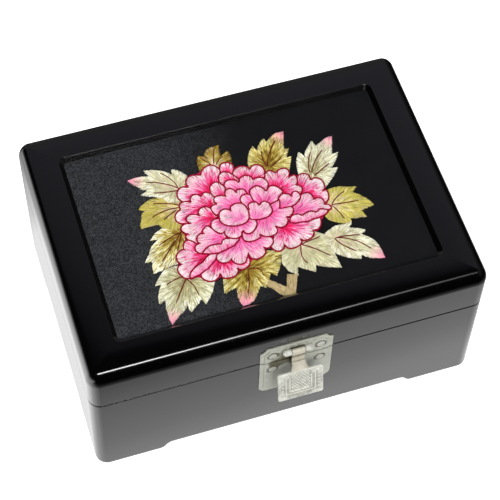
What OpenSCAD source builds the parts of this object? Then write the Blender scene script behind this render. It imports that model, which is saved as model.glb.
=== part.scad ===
// Lacquered keepsake box with an embroidered silk panel in its lid and a hasp clasp.
// Millimetres, +Z up, front towards -Y. The origin is the bottom centre of the outer box,
// clasp included, so every piece is set back by half of the clasp's reach.

/* [Box] */
// Length of the box, left to right
box_l = 224; // [200:1:280]
// Depth of the box without the clasp, front to back
box_d = 160; // [144:1:200]
// Height with the lid closed
box_h = 100; // [94:1:130]
// Height of the lid above the seam
lid_h = 30; // [28:1:34]
// Thickness of the wooden walls
wall_t = 9; // [8:0.5:11]
// Radius of the upright corners
corner_r = 7; // [6.5:0.5:8]
// Radius of the rounded edge round the top of the lid
crown_r = 6; // [4:0.5:6.5]
// Gap of the seam between the lid and the base
seam_gap = 0.5; // [0.45:0.05:0.8]

/* [Feet] */
// Width of each bracket foot along a wall
foot_w = 36; // [28:1:44]
// Height of the cut-outs between the feet
foot_h = 5; // [4.6:0.1:7]
// Length of the S-curve at each end of a cut-out
foot_curve = 8; // [6:0.5:12]

/* [Lid panel] */
// Width of the lid's left and right top rails
stile_w = 22.2; // [18:0.2:28]
// Width of the lid's front and back top rails
rail_w = 21.5; // [18:0.5:26]
// Thickness of the lip over the edge of the silk
lip_t = 2; // [1.8:0.1:3]
// Corner radius of the window
window_r = 2; // [1:0.5:4]
// How far the panel reaches under the lip
panel_lap = 4; // [3:0.5:6]
// Thickness of the silk over its board
silk_t = 0.5; // [0.3:0.1:0.8]
// Thickness of the board behind the silk
board_t = 3; // [2:0.5:4]
// Thickness of the mirror glass
mirror_t = 3; // [2:0.5:4]
// Thickness of the velvet surround that holds the mirror
surround_t = 2.5; // [2:0.5:4]
// How far the surround covers the edge of the mirror
mirror_lap = 9; // [5:0.5:14]

/* [Embroidery] */
// Height of the leaves above the silk
leaf_rise = 0.45; // [0.3:0.05:0.6]
// Height of the lowest petal above the silk
petal_rise = 0.55; // [0.5:0.05:0.65]
// Rise from one petal to the next one over it
petal_step = 0.045; // [0.03:0.005:0.05]

/* [Hinges] */
// Angle at which the bevelled back edges stop the lid
open_angle = 98; // [90:1:102]
// Distance from the back of the box to the hinge axis
bevel_w = 3; // [2.6:0.1:3.4]
// Distance from the box's end to the middle of a hinge
hinge_inset = 50; // [40:1:60]
// Length of a hinge
hinge_l = 30; // [24:1:36]
// Thickness of a hinge leaf
leaf_t = 1; // [0.8:0.1:1.2]
// Radius of the hinge barrel
knuckle_r = 2; // [1.9:0.1:2.1]
// Radius of the hinge pin
hinge_pin_r = 0.9; // [0.8:0.05:1.1]

/* [Clasp] */
// Distance of the clasp to the right of the middle
clasp_shift = 2.2; // [0:0.1:6]
// Width of the two clasp plates
plate_w = 41.3; // [36:0.1:48]
// Height of the lid plate's top edge above the seam
plate_up = 14.8; // [14.4:0.1:16]
// Depth of the base plate's bottom edge below the seam
plate_down = 31.9; // [28:0.1:36]
// Thickness of a plate at its border
plate_t = 0.7; // [0.6:0.1:0.9]
// Rise of the plate's middle above its border
plate_rise = 0.5; // [0.3:0.1:0.6]
// Width of the lower border round a plate
plate_border = 2.4; // [1.6:0.1:3]
// Radius of the concave upper corners
notch_r = 3.4; // [2.6:0.1:3.8]
// Radius of the clasp's barrel
barrel_r = 1.5; // [1.4:0.1:1.7]
// Radius of the clasp's pin
clasp_pin_r = 0.75; // [0.6:0.05:0.8]
// Width of the hasp's tongue
tongue_w = 7.3; // [6:0.1:8.5]
// Length of each fixed knuckle
knuckle_l = 3.7; // [3:0.1:4.5]
// Thickness of the hasp's tongue
tongue_t = 0.8; // [0.7:0.1:1]
// Width of the hasp's square plate
face_w = 26; // [22:0.5:30]
// Height of the hasp's square plate
face_h = 23.5; // [20:0.5:26]
// Thickness of the hasp's square plate
face_t = 1.4; // [1.2:0.1:1.8]
// Outward tilt of the hasp's square plate
face_tilt = 9.5; // [6:0.5:12]
// Height of the raised pattern on the square plate
relief = 0.3; // [0.2:0.05:0.4]
// Spacing of the screws across the clasp
screw_span = 27; // [26:0.5:28]

/* [Inside] */
// Height of the floor's underside above the table
floor_lift = 8; // [7.5:0.5:12]
// Thickness of the floor board
floor_t = 4; // [3:0.5:5]
// Depth of the groove that holds the floor
groove_d = 3; // [2:0.5:4]
// Thickness of the velvet liners
liner_t = 1.2; // [1:0.1:1.6]
// Width of one ring roll
roll_w = 12.4; // [11:0.2:13.4]
// Gap between two ring rolls
roll_gap = 0.8; // [0.6:0.1:1]
// Number of ring rolls
rolls = 5; // [4:1:6]
// Height of the ring rolls
roll_h = 26; // [22:1:32]
// Thickness of the dividers
divider_t = 3; // [2.5:0.5:4]
// Height of the dividers
divider_h = 36; // [30:1:40]

/* [Screws] */
// Radius of a clasp screw's head
screw_head_r = 2.35; // [2.2:0.05:2.4]
// Radius of a clasp screw's shank
screw_r = 1.1; // [1:0.05:1.3]
// Length of a clasp screw under its head
screw_l = 7; // [6:0.5:7.5]
// Radius of a hinge screw's head
small_head_r = 1.6; // [1.5:0.05:1.7]
// Radius of a hinge screw's shank
small_screw_r = 0.8; // [0.7:0.05:0.9]
// Length of a hinge screw
small_screw_l = 8; // [6:0.5:9]

/* [Hidden] */
$fn = 48;

// Overrun of every cut past the faces it cuts
over = 0.5;
// Radial clearance of a pin in its bore and of a screw in its hole
fit_gap = 0.05;
// Gap between pieces that move past each other
move_gap = 0.35;
// Gap left round a panel or liner that is dropped in
drop_gap = 0.3;

black = [0.04, 0.04, 0.045];
velvet = [0.36, 0.03, 0.08];
nickel = [0.74, 0.73, 0.69];
half = 0.5;

// Heights of the box
seam_z = box_h - lid_h;
rim_z = seam_z + seam_gap;
rebate_d = silk_t + board_t + mirror_t;
top_t = lip_t + rebate_d;
top_z = box_h - top_t;
silk_z = box_h - lip_t;
floor_z = floor_lift + floor_t;
inner_l = box_l - 2 * wall_t;
inner_d = box_d - 2 * wall_t;

// Window in the lid, and the panel under it
window_l = box_l - 2 * stile_w;
window_d = box_d - 2 * rail_w;
panel_l = window_l + 2 * panel_lap;
panel_d = window_d + 2 * panel_lap;

// Hinge axis, at the inner edge of the bevelled back edges
hinge_y = box_d * half - bevel_w;
hinge_z = seam_z + seam_gap * half;
bevel_angle = open_angle * half;
bevel_drop = bevel_w * tan(bevel_angle);
hinge_x = box_l * half - hinge_inset;
knuckle_count = 5;
knuckle_gap = 0.3;
hinge_knuckle_l = (hinge_l - (knuckle_count - 1) * knuckle_gap) / knuckle_count;
hinge_screw_span_share = 0.5;
pin_head_r = hinge_pin_r + hinge_pin_r * half;
pin_head_t = hinge_pin_r * half;

// Clasp places, measured outwards from the front of the box
plate_full_t = plate_t + plate_rise;
barrel_out = plate_full_t + barrel_r + move_gap;
barrel_up_share = 0.69;
barrel_z = seam_z + plate_up * barrel_up_share;
barrel_gap = 0.3;
clasp_head_share = 1.4;
clasp_head_t_share = 0.6;
barrel_l = tongue_w + 2 * barrel_gap + 2 * knuckle_l;
clasp_head_r = clasp_pin_r * clasp_head_share;
clasp_head_t = clasp_pin_r * clasp_head_t_share;
plate_foot_r = 5;
plate_clear = 0.3;
lid_screw_up = 7;
base_screw_down = 7.4;
screw_dome = 0.35;
slot_w = 0.5;
slot_reach_share = 0.65;

// Catch, a bent tongue let into a slot of the base plate
catch_w = 8;
catch_t = 1;
catch_out = 4.2;
catch_down = 5.2;
catch_lip = 1.6;

// Bends of the hasp, outwards and downwards from the barrel's axis
tongue_seat_share = 0.75;
tongue_out = barrel_r - tongue_t * tongue_seat_share;
bend_out = 0.5;
bend_down = 8.3;
back_out = 0.2;
back_down = 9.6;
neck_out = 3.7;
neck_down = 13.6;
neck_t = 0.9;
neck_top_w = 7.6;
neck_foot_w = 10.4;
neck_over = 1.2;
neck_angle = atan2(neck_out - back_out, neck_down - back_down);
face_out = neck_out + tongue_t * half;
face_down = neck_down;
rim_w = 1.1;
dot_inset = 2.9;
dot_pitch = 3.4;
fret_w = 0.8;
fret_inset = 4.6;
fret_step = 2.2;
weave_rows = 8;
weave_cols = 3;

// Reach of the clasp in front of the box, which sets the box back from the origin
clasp_reach = barrel_out + face_out + face_h * sin(face_tilt) + (face_t + relief) * cos(face_tilt);
set_back = clasp_reach * half;

// Inside places
liner_rim = 1;
ring_w = rolls * roll_w + (rolls + 1) * roll_gap;
lined_l = inner_l - 2 * liner_t;
lined_d = inner_d - 2 * liner_t;
inside_z = floor_z + liner_t;
ring_right = ring_w - lined_l * half;
divider_right = ring_right + divider_t;
bay_l = lined_l * half - divider_right;
cross_y_share = -0.04;
cross_y = lined_d * cross_y_share;
short_x = divider_right + bay_l * half;

// Length of window that the spray of flower and leaves is laid out for
spray_fit = 1.535;
spray_l = min(window_l, window_d * spray_fit);

// Petals, lowest first: the two ends of the scalloped edge, the root, how far the edge bows
// out as a share of its length, and the number of lobes. Places are shares of spray_l.
petal_shares = [
    [-0.190,  0.090, -0.040,  0.160, -0.085,  0.100,  0.30, 3],
    [-0.045,  0.160,  0.000,  0.140, -0.025,  0.115,  0.65, 1],
    [-0.010,  0.130,  0.090,  0.105,  0.025,  0.085,  0.35, 2],
    [ 0.085,  0.100,  0.170,  0.005,  0.115,  0.020,  0.45, 4],
    [ 0.180,  0.060,  0.240, -0.050,  0.195, -0.030,  0.40, 3],
    [ 0.170,  0.000,  0.245, -0.075,  0.135, -0.055,  0.15, 3],
    [ 0.195, -0.105,  0.025, -0.155,  0.090, -0.095,  0.25, 4],
    [-0.085,  0.075, -0.205,  0.005, -0.115,  0.040, -0.40, 5],
    [-0.195,  0.000, -0.230, -0.085, -0.170, -0.055, -0.15, 3],
    [-0.110,  0.005, -0.210, -0.010, -0.125, -0.025, -0.40, 3],
    [-0.215, -0.090, -0.240, -0.190, -0.170, -0.125, -0.35, 2],
    [-0.045, -0.175, -0.210, -0.195, -0.140, -0.150,  0.20, 3],
    [-0.095,  0.075, -0.045,  0.105, -0.060,  0.070,  0.55, 1],
    [-0.055,  0.125, -0.010,  0.120, -0.030,  0.090,  0.60, 1],
    [-0.045,  0.090,  0.080,  0.055,  0.015,  0.035,  0.35, 3],
    [-0.060,  0.050,  0.015,  0.050, -0.025,  0.010,  0.35, 2],
    [-0.055,  0.055, -0.095,  0.000, -0.055,  0.005, -0.45, 2],
    [ 0.095,  0.000,  0.160, -0.020,  0.105, -0.040,  0.50, 2],
    [-0.014,  0.025,  0.120,  0.020,  0.035, -0.010,  0.35, 3],
    [ 0.035, -0.130, -0.145, -0.145, -0.035, -0.105,  0.25, 5],
    [ 0.125, -0.035,  0.005, -0.105,  0.035, -0.035,  0.30, 4],
    [-0.125, -0.035, -0.180, -0.115, -0.095, -0.075, -0.30, 3],
    [-0.045, -0.085,  0.010, -0.100, -0.015, -0.065, -0.40, 1],
    [ 0.010, -0.050, -0.050, -0.080, -0.025, -0.045,  0.40, 1],
    [-0.120, -0.015,  0.005, -0.060, -0.050, -0.020, -0.50, 3],
    [ 0.105, -0.085,  0.230, -0.080,  0.160, -0.100,  0.15, 3],
    [-0.175, -0.120, -0.060, -0.100, -0.120, -0.130,  0.20, 2],
    [-0.240, -0.190, -0.140, -0.135, -0.185, -0.180,  0.25, 1],
    [-0.095, -0.015, -0.010, -0.025, -0.060, -0.050,  0.55, 2],
    [-0.005, -0.025,  0.060, -0.035,  0.015, -0.050,  0.60, 2]
];
// Ground of stitches under the petals, as shares of spray_l
ground_shares = [
    [-0.175,  0.055], [-0.120,  0.125], [-0.043,  0.160], [-0.020,  0.140], [ 0.050,  0.110],
    [ 0.086,  0.103], [ 0.110,  0.080], [ 0.195,  0.040], [ 0.215, -0.045], [ 0.185, -0.085],
    [ 0.150, -0.130], [ 0.050, -0.140], [-0.060, -0.160], [-0.190, -0.175], [-0.215, -0.150],
    [-0.218, -0.088], [-0.212, -0.050], [-0.188, -0.010], [-0.170,  0.020]
];
lobe_swell_share = 0.54;
lobe_most_share = 0.52;
lobe_sink_share = 0.75;
bow_stretch = 8 / 3;

// Leaves: root and tip as shares of spray_l, width as a share of the leaf's length, teeth a side
leaf_shares = [
    [-0.183,  0.118, -0.326,  0.205, 0.62, 3],
    [-0.190,  0.050, -0.321,  0.090, 0.86, 3],
    [-0.200, -0.010, -0.349, -0.092, 0.72, 4],
    [-0.225, -0.150, -0.334, -0.322, 0.62, 4],
    [-0.068,  0.150, -0.024,  0.251, 1.05, 3],
    [ 0.080,  0.090,  0.192,  0.241, 0.70, 4],
    [ 0.205,  0.030,  0.330,  0.180, 0.66, 4],
    [ 0.215, -0.058,  0.370, -0.101, 0.74, 4],
    [ 0.170, -0.130,  0.344, -0.288, 0.52, 5],
    [ 0.100, -0.130,  0.203, -0.282, 0.62, 4],
    [ 0.090, -0.140,  0.068, -0.272, 0.80, 3],
    [-0.050, -0.165, -0.107, -0.322, 0.80, 4]
];
leaf_full_share = 0.72;
tooth_valley_share = 0.76;
tooth_start_share = 0.3;
tooth_end_share = 0.9;

// Twig: its ends and its bend as shares of spray_l
stem_shares = [[-0.015, -0.261], [0.012, -0.308], [0.040, -0.309], [0.057, -0.262]];
stem_w = 3.4;

// Helpers

module stand() {
    translate([0, set_back, 0]) children();
}

// Turns a profile of (outward, up) into a piece along X, middle at X = 0
module along_x(w) {
    rotate([90, 0, 90]) linear_extrude(w, center = true) children();
}

module rounded_rect(l, d, r) {
    square([l - 2 * r, d], center = true);
    square([l, d - 2 * r], center = true);
    for (sx = [-1, 1], sy = [-1, 1])
        translate([sx * (l * half - r), sy * (d * half - r)]) circle(r);
}

// Outline of the whole box seen from above
module footprint() {
    rounded_rect(box_l, box_d, corner_r);
}

// Half of the box seen from above: the walls that run along its length keep their round corners
module long_wall_outline(side) {
    intersection() {
        footprint();
        translate([0, side * (box_d - wall_t) * half]) square([box_l, wall_t], center = true);
    }
}

module end_wall_outline(side) {
    translate([side * (box_l - wall_t) * half, 0]) square([wall_t, inner_d], center = true);
}

// Cut-out between two feet, seen from the front: flat top and an S-curve of two arcs at each end
module foot_cutout(length) {
    run = foot_curve * half;
    rise = foot_h * half;
    arc_r = (run * run + rise * rise) / (2 * rise);
    flat_end = length * half - foot_w - foot_curve;
    translate([-flat_end, -over]) square([2 * flat_end, foot_h + over]);
    for (side = [-1, 1]) mirror([side < 0 ? 1 : 0, 0]) {
        intersection() {
            translate([flat_end, -over]) square([run, foot_h + over]);
            union() {
                translate([flat_end, foot_h - arc_r]) circle(arc_r, $fn = 96);
                translate([flat_end, -over]) square([run, rise + over]);
            }
        }
        difference() {
            translate([flat_end + run, -over]) square([run, rise + over]);
            translate([flat_end + foot_curve, arc_r]) circle(arc_r, $fn = 96);
        }
    }
}

module long_foot_cut() {
    rotate([90, 0, 0]) linear_extrude(box_d + 2 * over, center = true) foot_cutout(box_l);
}

module end_foot_cut() {
    rotate([90, 0, 90]) linear_extrude(box_l + 2 * over, center = true) foot_cutout(box_d);
}

// Space for the floor board, which sits in grooves in all four walls
module floor_slab() {
    translate([0, 0, floor_lift + floor_t * half])
        cube([inner_l + 2 * groove_d, inner_d + 2 * groove_d, floor_t], center = true);
}

// Wedge along the back edge, cut from base and lid so that they meet when the lid is open
module back_bevel() {
    far = bevel_w + over;
    drop = far * tan(bevel_angle);
    translate([0, hinge_y, 0]) along_x(box_l + 2 * over) {
        polygon([
            [0, seam_z], [far, seam_z - drop], [far, rim_z + drop], [0, rim_z]
        ]);
    }
}

// Pocket that clears the barrel of each hinge
module hinge_pockets() {
    for (side = [-1, 1])
        translate([side * hinge_x, hinge_y, hinge_z]) rotate([0, 90, 0])
            cylinder(
                r = knuckle_r + move_gap, h = hinge_l + 2 * (pin_head_t + move_gap), center = true
            );
}

// Recesses for the hinge leaves in the rim of the base (up = -1) or of the lid (up = 1)
module leaf_recess(up) {
    z = up < 0 ? seam_z - leaf_t : rim_z;
    for (side = [-1, 1])
        translate([side * hinge_x - hinge_l * half, inner_d * half - over, z])
            cube([hinge_l, hinge_y - inner_d * half + over, leaf_t]);
}

// Places of the two screws of each hinge leaf
module at_hinge_screws() {
    leaf_mid = (inner_d * half + hinge_y - knuckle_r) * half;
    for (side = [-1, 1], step = [-1, 1])
        translate([side * hinge_x + step * hinge_l * hinge_screw_span_share * half, leaf_mid, 0])
            children();
}

// Countersunk screw, head up, top of the head at Z = 0
module countersunk(head_r, shank_r, length, dome) {
    sink = head_r - shank_r;
    if (dome > 0) cylinder(r1 = head_r, r2 = head_r - dome, h = dome);
    translate([0, 0, -sink]) cylinder(r1 = shank_r, r2 = head_r, h = sink);
    translate([0, 0, -length]) cylinder(r = shank_r, h = length - sink);
}

// Hole for the same screw
module screw_hole(head_r, shank_r, length) {
    sink = head_r - shank_r;
    wide = shank_r + fit_gap;
    translate([0, 0, -sink]) cylinder(r1 = wide, r2 = head_r + fit_gap, h = sink);
    cylinder(r = head_r + fit_gap, h = over);
    translate([0, 0, -length - fit_gap]) cylinder(r = wide, h = length + fit_gap);
}

module cross_slot(head_r) {
    for (turn = [45, 135])
        rotate([0, 0, turn])
            cube([2 * head_r * slot_reach_share, slot_w, slot_w], center = true);
}

// Lid

// Profile of the rounded upper edge, from the corner's centre outwards
module crown_profile() {
    difference() {
        square([corner_r, top_t]);
        translate([corner_r - crown_r, top_t - crown_r]) difference() {
            square([crown_r + over, crown_r + over]);
            circle(crown_r, $fn = 96);
        }
    }
}

module crown_side(length) {
    rotate([90, 0, 0]) linear_extrude(length, center = true) crown_profile();
}

module lid_top_frame() {
    core_l = box_l - 2 * corner_r;
    core_d = box_d - 2 * corner_r;
    color(black) stand() translate([0, 0, top_z]) difference() {
        union() {
            translate([0, 0, top_t * half]) cube([core_l, core_d, top_t], center = true);
            translate([core_l * half, 0, 0]) crown_side(core_d);
            translate([-core_l * half, 0, 0]) rotate([0, 0, 180]) crown_side(core_d);
            translate([0, core_d * half, 0]) rotate([0, 0, 90]) crown_side(core_l);
            translate([0, -core_d * half, 0]) rotate([0, 0, -90]) crown_side(core_l);
            for (corner = [0 : 3]) {
                sx = corner == 0 || corner == 3 ? 1 : -1;
                sy = corner < 2 ? 1 : -1;
                translate([sx * core_l * half, sy * core_d * half, 0])
                    rotate([0, 0, corner * 90]) rotate_extrude(angle = 90, $fn = 64) crown_profile();
            }
        }
        translate([0, 0, -over]) linear_extrude(top_t + 2 * over)
            rounded_rect(window_l, window_d, window_r);
        translate([0, 0, -over]) linear_extrude(rebate_d + over)
            square([panel_l, panel_d], center = true);
    }
}

module lid_rail_solid() {
    translate([0, 0, rim_z]) linear_extrude(top_z - rim_z) children();
}

module lid_front_rail() {
    color(black) stand() difference() {
        lid_rail_solid() long_wall_outline(-1);
        clasp_screw_holes(1);
    }
}

module lid_back_rail() {
    color(black) stand() difference() {
        lid_rail_solid() long_wall_outline(1);
        back_bevel();
        hinge_pockets();
        leaf_recess(1);
        at_hinge_screws() translate([0, 0, rim_z]) mirror([0, 0, 1])
            screw_hole(small_head_r, small_screw_r, small_screw_l);
    }
}

module lid_left_rail() {
    color(black) stand() lid_rail_solid() end_wall_outline(-1);
}

module lid_right_rail() {
    color(black) stand() lid_rail_solid() end_wall_outline(1);
}

module panel_sheet(thickness) {
    linear_extrude(thickness)
        square([panel_l - 2 * drop_gap, panel_d - 2 * drop_gap], center = true);
}

module silk_panel() {
    color([0.07, 0.07, 0.08]) stand() translate([0, 0, silk_z - silk_t]) panel_sheet(silk_t);
}

module panel_board() {
    color("tan") stand() translate([0, 0, silk_z - silk_t - board_t]) panel_sheet(board_t);
}

module lid_mirror() {
    color("lightsteelblue") stand() translate([0, 0, top_z]) panel_sheet(mirror_t);
}

// Surround under the lid's top, with the opening that shows the mirror
module mirror_surround() {
    color(velvet) stand() translate([0, 0, top_z - surround_t]) linear_extrude(surround_t)
        difference() {
            square([inner_l - 2 * drop_gap, inner_d - 2 * drop_gap], center = true);
            rounded_rect(panel_l - 2 * mirror_lap, panel_d - 2 * mirror_lap, window_r);
        }
}

// Four velvet strips inside a rim, between two heights
module liner_strips(low, high) {
    for (side = [-1, 1]) {
        translate([0, side * (inner_d - liner_t) * half, (low + high) * half])
            cube([inner_l, liner_t, high - low], center = true);
        translate([side * (inner_l - liner_t) * half, 0, (low + high) * half])
            cube([liner_t, lined_d, high - low], center = true);
    }
}

module lid_liner() {
    color(velvet) stand() liner_strips(rim_z + leaf_t + liner_rim, top_z - surround_t);
}

// Embroidery

// Point at share t of the bowed line from a to b
function bowed(a, b, bow, t) =
    let (run = b - a)
        a + run * t + [-run[1], run[0]] * bow * 4 * t * (1 - t);

// Petal from a row of petal_shares: a fan from its root, with round lobes along its edge
module petal_outline(p) {
    a = [p[0], p[1]] * spray_l;
    b = [p[2], p[3]] * spray_l;
    root = [p[4], p[5]] * spray_l;
    bow = p[6];
    lobes = p[7];
    edge_l = norm(b - a) * (1 + bow_stretch * bow * bow);
    lobe_r = min(norm(b - a) * lobe_most_share, edge_l * lobe_swell_share / lobes);
    centres = [
        for (i = [0 : lobes - 1])
            let (edge = bowed(a, b, bow, (i + half) / lobes), inward = root - edge)
                edge + inward * lobe_r * lobe_sink_share / norm(inward)
    ];
    polygon(concat([a], centres, [b, root]));
    for (centre = centres) translate(centre) circle(lobe_r, $fn = 12);
}

module peony_petals() {
    color([0.86, 0.25, 0.48]) stand() translate([0, 0, silk_z]) {
        linear_extrude(leaf_rise) polygon(ground_shares * spray_l);
        for (k = [0 : len(petal_shares) - 1])
            linear_extrude(petal_rise + k * petal_step) petal_outline(petal_shares[k]);
    }
}

// Half-width of a leaf at share s of its length, from 0 at the root to 0 at the tip
function leaf_swell(s) = sin(180 * pow(s, leaf_full_share));

// One toothed side of a leaf; side is 1 or -1
function leaf_side(l, w, teeth, side) = [
    for (k = [0 : teeth - 1], tooth = [0, 1])
        let (s = (k + (tooth == 0 ? tooth_start_share : tooth_end_share)) / teeth)
            [l * s, side * w * half * leaf_swell(s) * (tooth == 0 ? tooth_valley_share : 1)]
];

function backwards(points) = [for (i = [len(points) - 1 : -1 : 0]) points[i]];

// Toothed leaf facing +X, root at the origin
module leaf_outline(l, w, teeth) {
    polygon(concat(
        [[0, 0]], leaf_side(l, w, teeth, -1), [[l, 0]], backwards(leaf_side(l, w, teeth, 1))
    ));
}

module leaf_layer() {
    for (p = leaf_shares) {
        root = [p[0], p[1]] * spray_l;
        run = [p[2], p[3]] * spray_l - root;
        leaf_l = norm(run);
        translate(root) rotate(atan2(run[1], run[0])) leaf_outline(leaf_l, leaf_l * p[4], p[5]);
    }
}

module petal_layer() {
    polygon(ground_shares * spray_l);
    for (p = petal_shares) petal_outline(p);
}

module peony_leaves() {
    color([0.72, 0.74, 0.45]) stand() translate([0, 0, silk_z]) linear_extrude(leaf_rise)
        difference() {
            leaf_layer();
            petal_layer();
        }
}

module peony_stem() {
    color([0.66, 0.55, 0.36]) stand() translate([0, 0, silk_z]) linear_extrude(leaf_rise)
        difference() {
            bent_strip(stem_shares * spray_l, stem_w);
            leaf_layer();
            petal_layer();
        }
}

// Base

module base_wall_solid() {
    linear_extrude(seam_z) children();
}

module base_front_wall() {
    color(black) stand() difference() {
        base_wall_solid() long_wall_outline(-1);
        long_foot_cut();
        floor_slab();
        clasp_screw_holes(-1);
    }
}

module base_back_wall() {
    color(black) stand() difference() {
        base_wall_solid() long_wall_outline(1);
        long_foot_cut();
        floor_slab();
        back_bevel();
        hinge_pockets();
        leaf_recess(-1);
        at_hinge_screws() translate([0, 0, seam_z])
            screw_hole(small_head_r, small_screw_r, small_screw_l);
    }
}

module base_end_wall(side) {
    color(black) stand() difference() {
        base_wall_solid() end_wall_outline(side);
        end_foot_cut();
        floor_slab();
    }
}

module base_left_wall() {
    base_end_wall(-1);
}

module base_right_wall() {
    base_end_wall(1);
}

module base_floor() {
    color("peru") stand() floor_slab();
}

module floor_liner() {
    color(velvet) stand() translate([0, 0, floor_z + liner_t * half])
        cube([inner_l, inner_d, liner_t], center = true);
}

module wall_liner() {
    color(velvet) stand() liner_strips(inside_z, seam_z - leaf_t - liner_rim);
}

// Soft rolls that grip rings between them, side by side
module ring_rolls() {
    roll_r = roll_w * half;
    roll_l = lined_d - 2 * drop_gap;
    color(velvet) stand() for (i = [0 : rolls - 1])
        translate([roll_gap + roll_r + i * (roll_w + roll_gap) - lined_l * half, 0, inside_z])
            rotate([90, 0, 0]) linear_extrude(roll_l, center = true) {
                translate([0, roll_h - roll_r]) circle(roll_r, $fn = 64);
                translate([-roll_r, 0]) square([roll_w, roll_h - roll_r]);
            }
}

module long_divider() {
    color(velvet) stand() translate([ring_right, -lined_d * half, inside_z])
        cube([divider_t, lined_d, divider_h]);
}

module cross_divider() {
    color(velvet) stand() translate([divider_right, cross_y - divider_t * half, inside_z])
        cube([bay_l, divider_t, divider_h]);
}

module short_divider() {
    color(velvet) stand()
        translate([short_x - divider_t * half, cross_y + divider_t * half, inside_z])
            cube([divider_t, lined_d * half - cross_y - divider_t * half, divider_h]);
}

// Hinges

// Knuckles first, first + 2, ... of one hinge, along X and centred
module hinge_knuckles(first, r) {
    pitch = hinge_knuckle_l + knuckle_gap;
    for (i = [first : 2 : knuckle_count - 1])
        translate([-hinge_l * half + i * pitch, 0, 0]) rotate([0, 90, 0])
            cylinder(r = r, h = hinge_knuckle_l);
}

module hinge_leaf(up, first) {
    leaf_w = hinge_y - inner_d * half;
    low = up < 0 ? -seam_gap * half - leaf_t : seam_gap * half;
    difference() {
        union() {
            translate([-hinge_l * half, -leaf_w, low]) cube([hinge_l, leaf_w, leaf_t]);
            hinge_knuckles(first, knuckle_r);
        }
        rotate([0, 90, 0])
            cylinder(r = hinge_pin_r + fit_gap, h = hinge_l + 2 * over, center = true);
        gap_pitch = hinge_knuckle_l + knuckle_gap;
        for (i = [1 - first : 2 : knuckle_count - 1])
            translate([-hinge_l * half + i * gap_pitch - knuckle_gap, 0, 0]) rotate([0, 90, 0])
                cylinder(r = knuckle_r + move_gap, h = hinge_knuckle_l + 2 * knuckle_gap);
    }
}

module at_hinges() {
    for (side = [-1, 1]) translate([side * hinge_x, hinge_y, hinge_z]) children();
}

module hinge_base_leaves() {
    color(nickel) stand() difference() {
        at_hinges() hinge_leaf(-1, 0);
        at_hinge_screws() translate([0, 0, seam_z])
            screw_hole(small_head_r, small_screw_r, small_screw_l);
    }
}

module hinge_lid_leaves() {
    color(nickel) stand() difference() {
        at_hinges() hinge_leaf(1, 1);
        at_hinge_screws() translate([0, 0, rim_z]) mirror([0, 0, 1])
            screw_hole(small_head_r, small_screw_r, small_screw_l);
    }
}

module hinge_pins() {
    color(nickel) stand() at_hinges() rotate([0, 90, 0]) {
        cylinder(r = hinge_pin_r, h = hinge_l + 2 * pin_head_t, center = true);
        for (side = [-1, 1])
            translate([0, 0, side * (hinge_l + pin_head_t) * half])
                cylinder(r = pin_head_r, h = pin_head_t, center = true);
    }
}

module hinge_base_screws() {
    color(nickel) stand() at_hinge_screws() translate([0, 0, seam_z]) difference() {
        countersunk(small_head_r, small_screw_r, small_screw_l, 0);
        cross_slot(small_head_r);
    }
}

module hinge_lid_screws() {
    color(nickel) stand() at_hinge_screws() translate([0, 0, rim_z]) mirror([0, 0, 1])
        difference() {
            countersunk(small_head_r, small_screw_r, small_screw_l, 0);
            cross_slot(small_head_r);
        }
}

// Clasp, drawn at the front of the box with outwards towards -Y

module at_clasp() {
    translate([clasp_shift, -box_d * half, 0]) children();
}

// Places of the two screws of a plate, turned so that their heads face the front
module at_clasp_screws(up) {
    z = up < 0 ? seam_z - base_screw_down : seam_z + lid_screw_up;
    at_clasp() for (side = [-1, 1])
        translate([side * screw_span * half, -plate_full_t, z]) rotate([90, 0, 0]) children();
}

module clasp_screw_holes(up) {
    at_clasp_screws(up) screw_hole(screw_head_r, screw_r, screw_l);
}

// Outline of both plates together, shrunk by inset, with Y upwards
module plate_outline(inset) {
    wide = plate_w - 2 * inset;
    low = seam_z - plate_down + inset;
    high = seam_z + plate_up - inset;
    foot_r = plate_foot_r - inset * half;
    difference() {
        translate([-wide * half, low]) square([wide, high - low]);
        for (side = [-1, 1]) {
            translate([side * plate_w * half, seam_z + plate_up]) circle(notch_r + inset);
            translate([side * (wide * half - foot_r), low + foot_r]) difference() {
                translate([side < 0 ? -foot_r - over : 0, -foot_r - over])
                    square([foot_r + over, foot_r + over]);
                circle(foot_r);
            }
        }
    }
}

// Stamped plate: full outline, with the middle standing above its border
module stamped_plate(low, high) {
    intersection() {
        rotate([90, 0, 0]) {
            linear_extrude(plate_t) plate_outline(0);
            linear_extrude(plate_full_t) plate_outline(plate_border);
        }
        translate([-plate_w, -plate_full_t - over, low])
            cube([2 * plate_w, plate_full_t + 2 * over, high - low]);
    }
}

// Cylinder along X about the barrel's axis
module barrel_bar(r, length) {
    translate([0, -barrel_out, barrel_z]) rotate([0, 90, 0])
        cylinder(r = r, h = length, center = true);
}

module fixed_knuckles() {
    mid = (tongue_w + knuckle_l) * half + barrel_gap;
    for (side = [-1, 1]) translate([side * mid, 0, 0]) {
        barrel_bar(barrel_r, knuckle_l);
        translate([-knuckle_l * half, -barrel_out, barrel_z + barrel_r - tongue_t])
            cube([knuckle_l, barrel_out - plate_t, tongue_t]);
    }
}

module clasp_lid_plate() {
    color(nickel) stand() difference() {
        at_clasp() difference() {
            union() {
                stamped_plate(rim_z + plate_clear, box_h);
                fixed_knuckles();
            }
            barrel_bar(clasp_pin_r + fit_gap, barrel_l + 2 * over);
        }
        clasp_screw_holes(1);
    }
}

module clasp_base_plate() {
    color(nickel) stand() difference() {
        at_clasp() difference() {
            stamped_plate(0, seam_z - plate_clear);
            catch_slot();
        }
        clasp_screw_holes(-1);
    }
}

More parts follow.
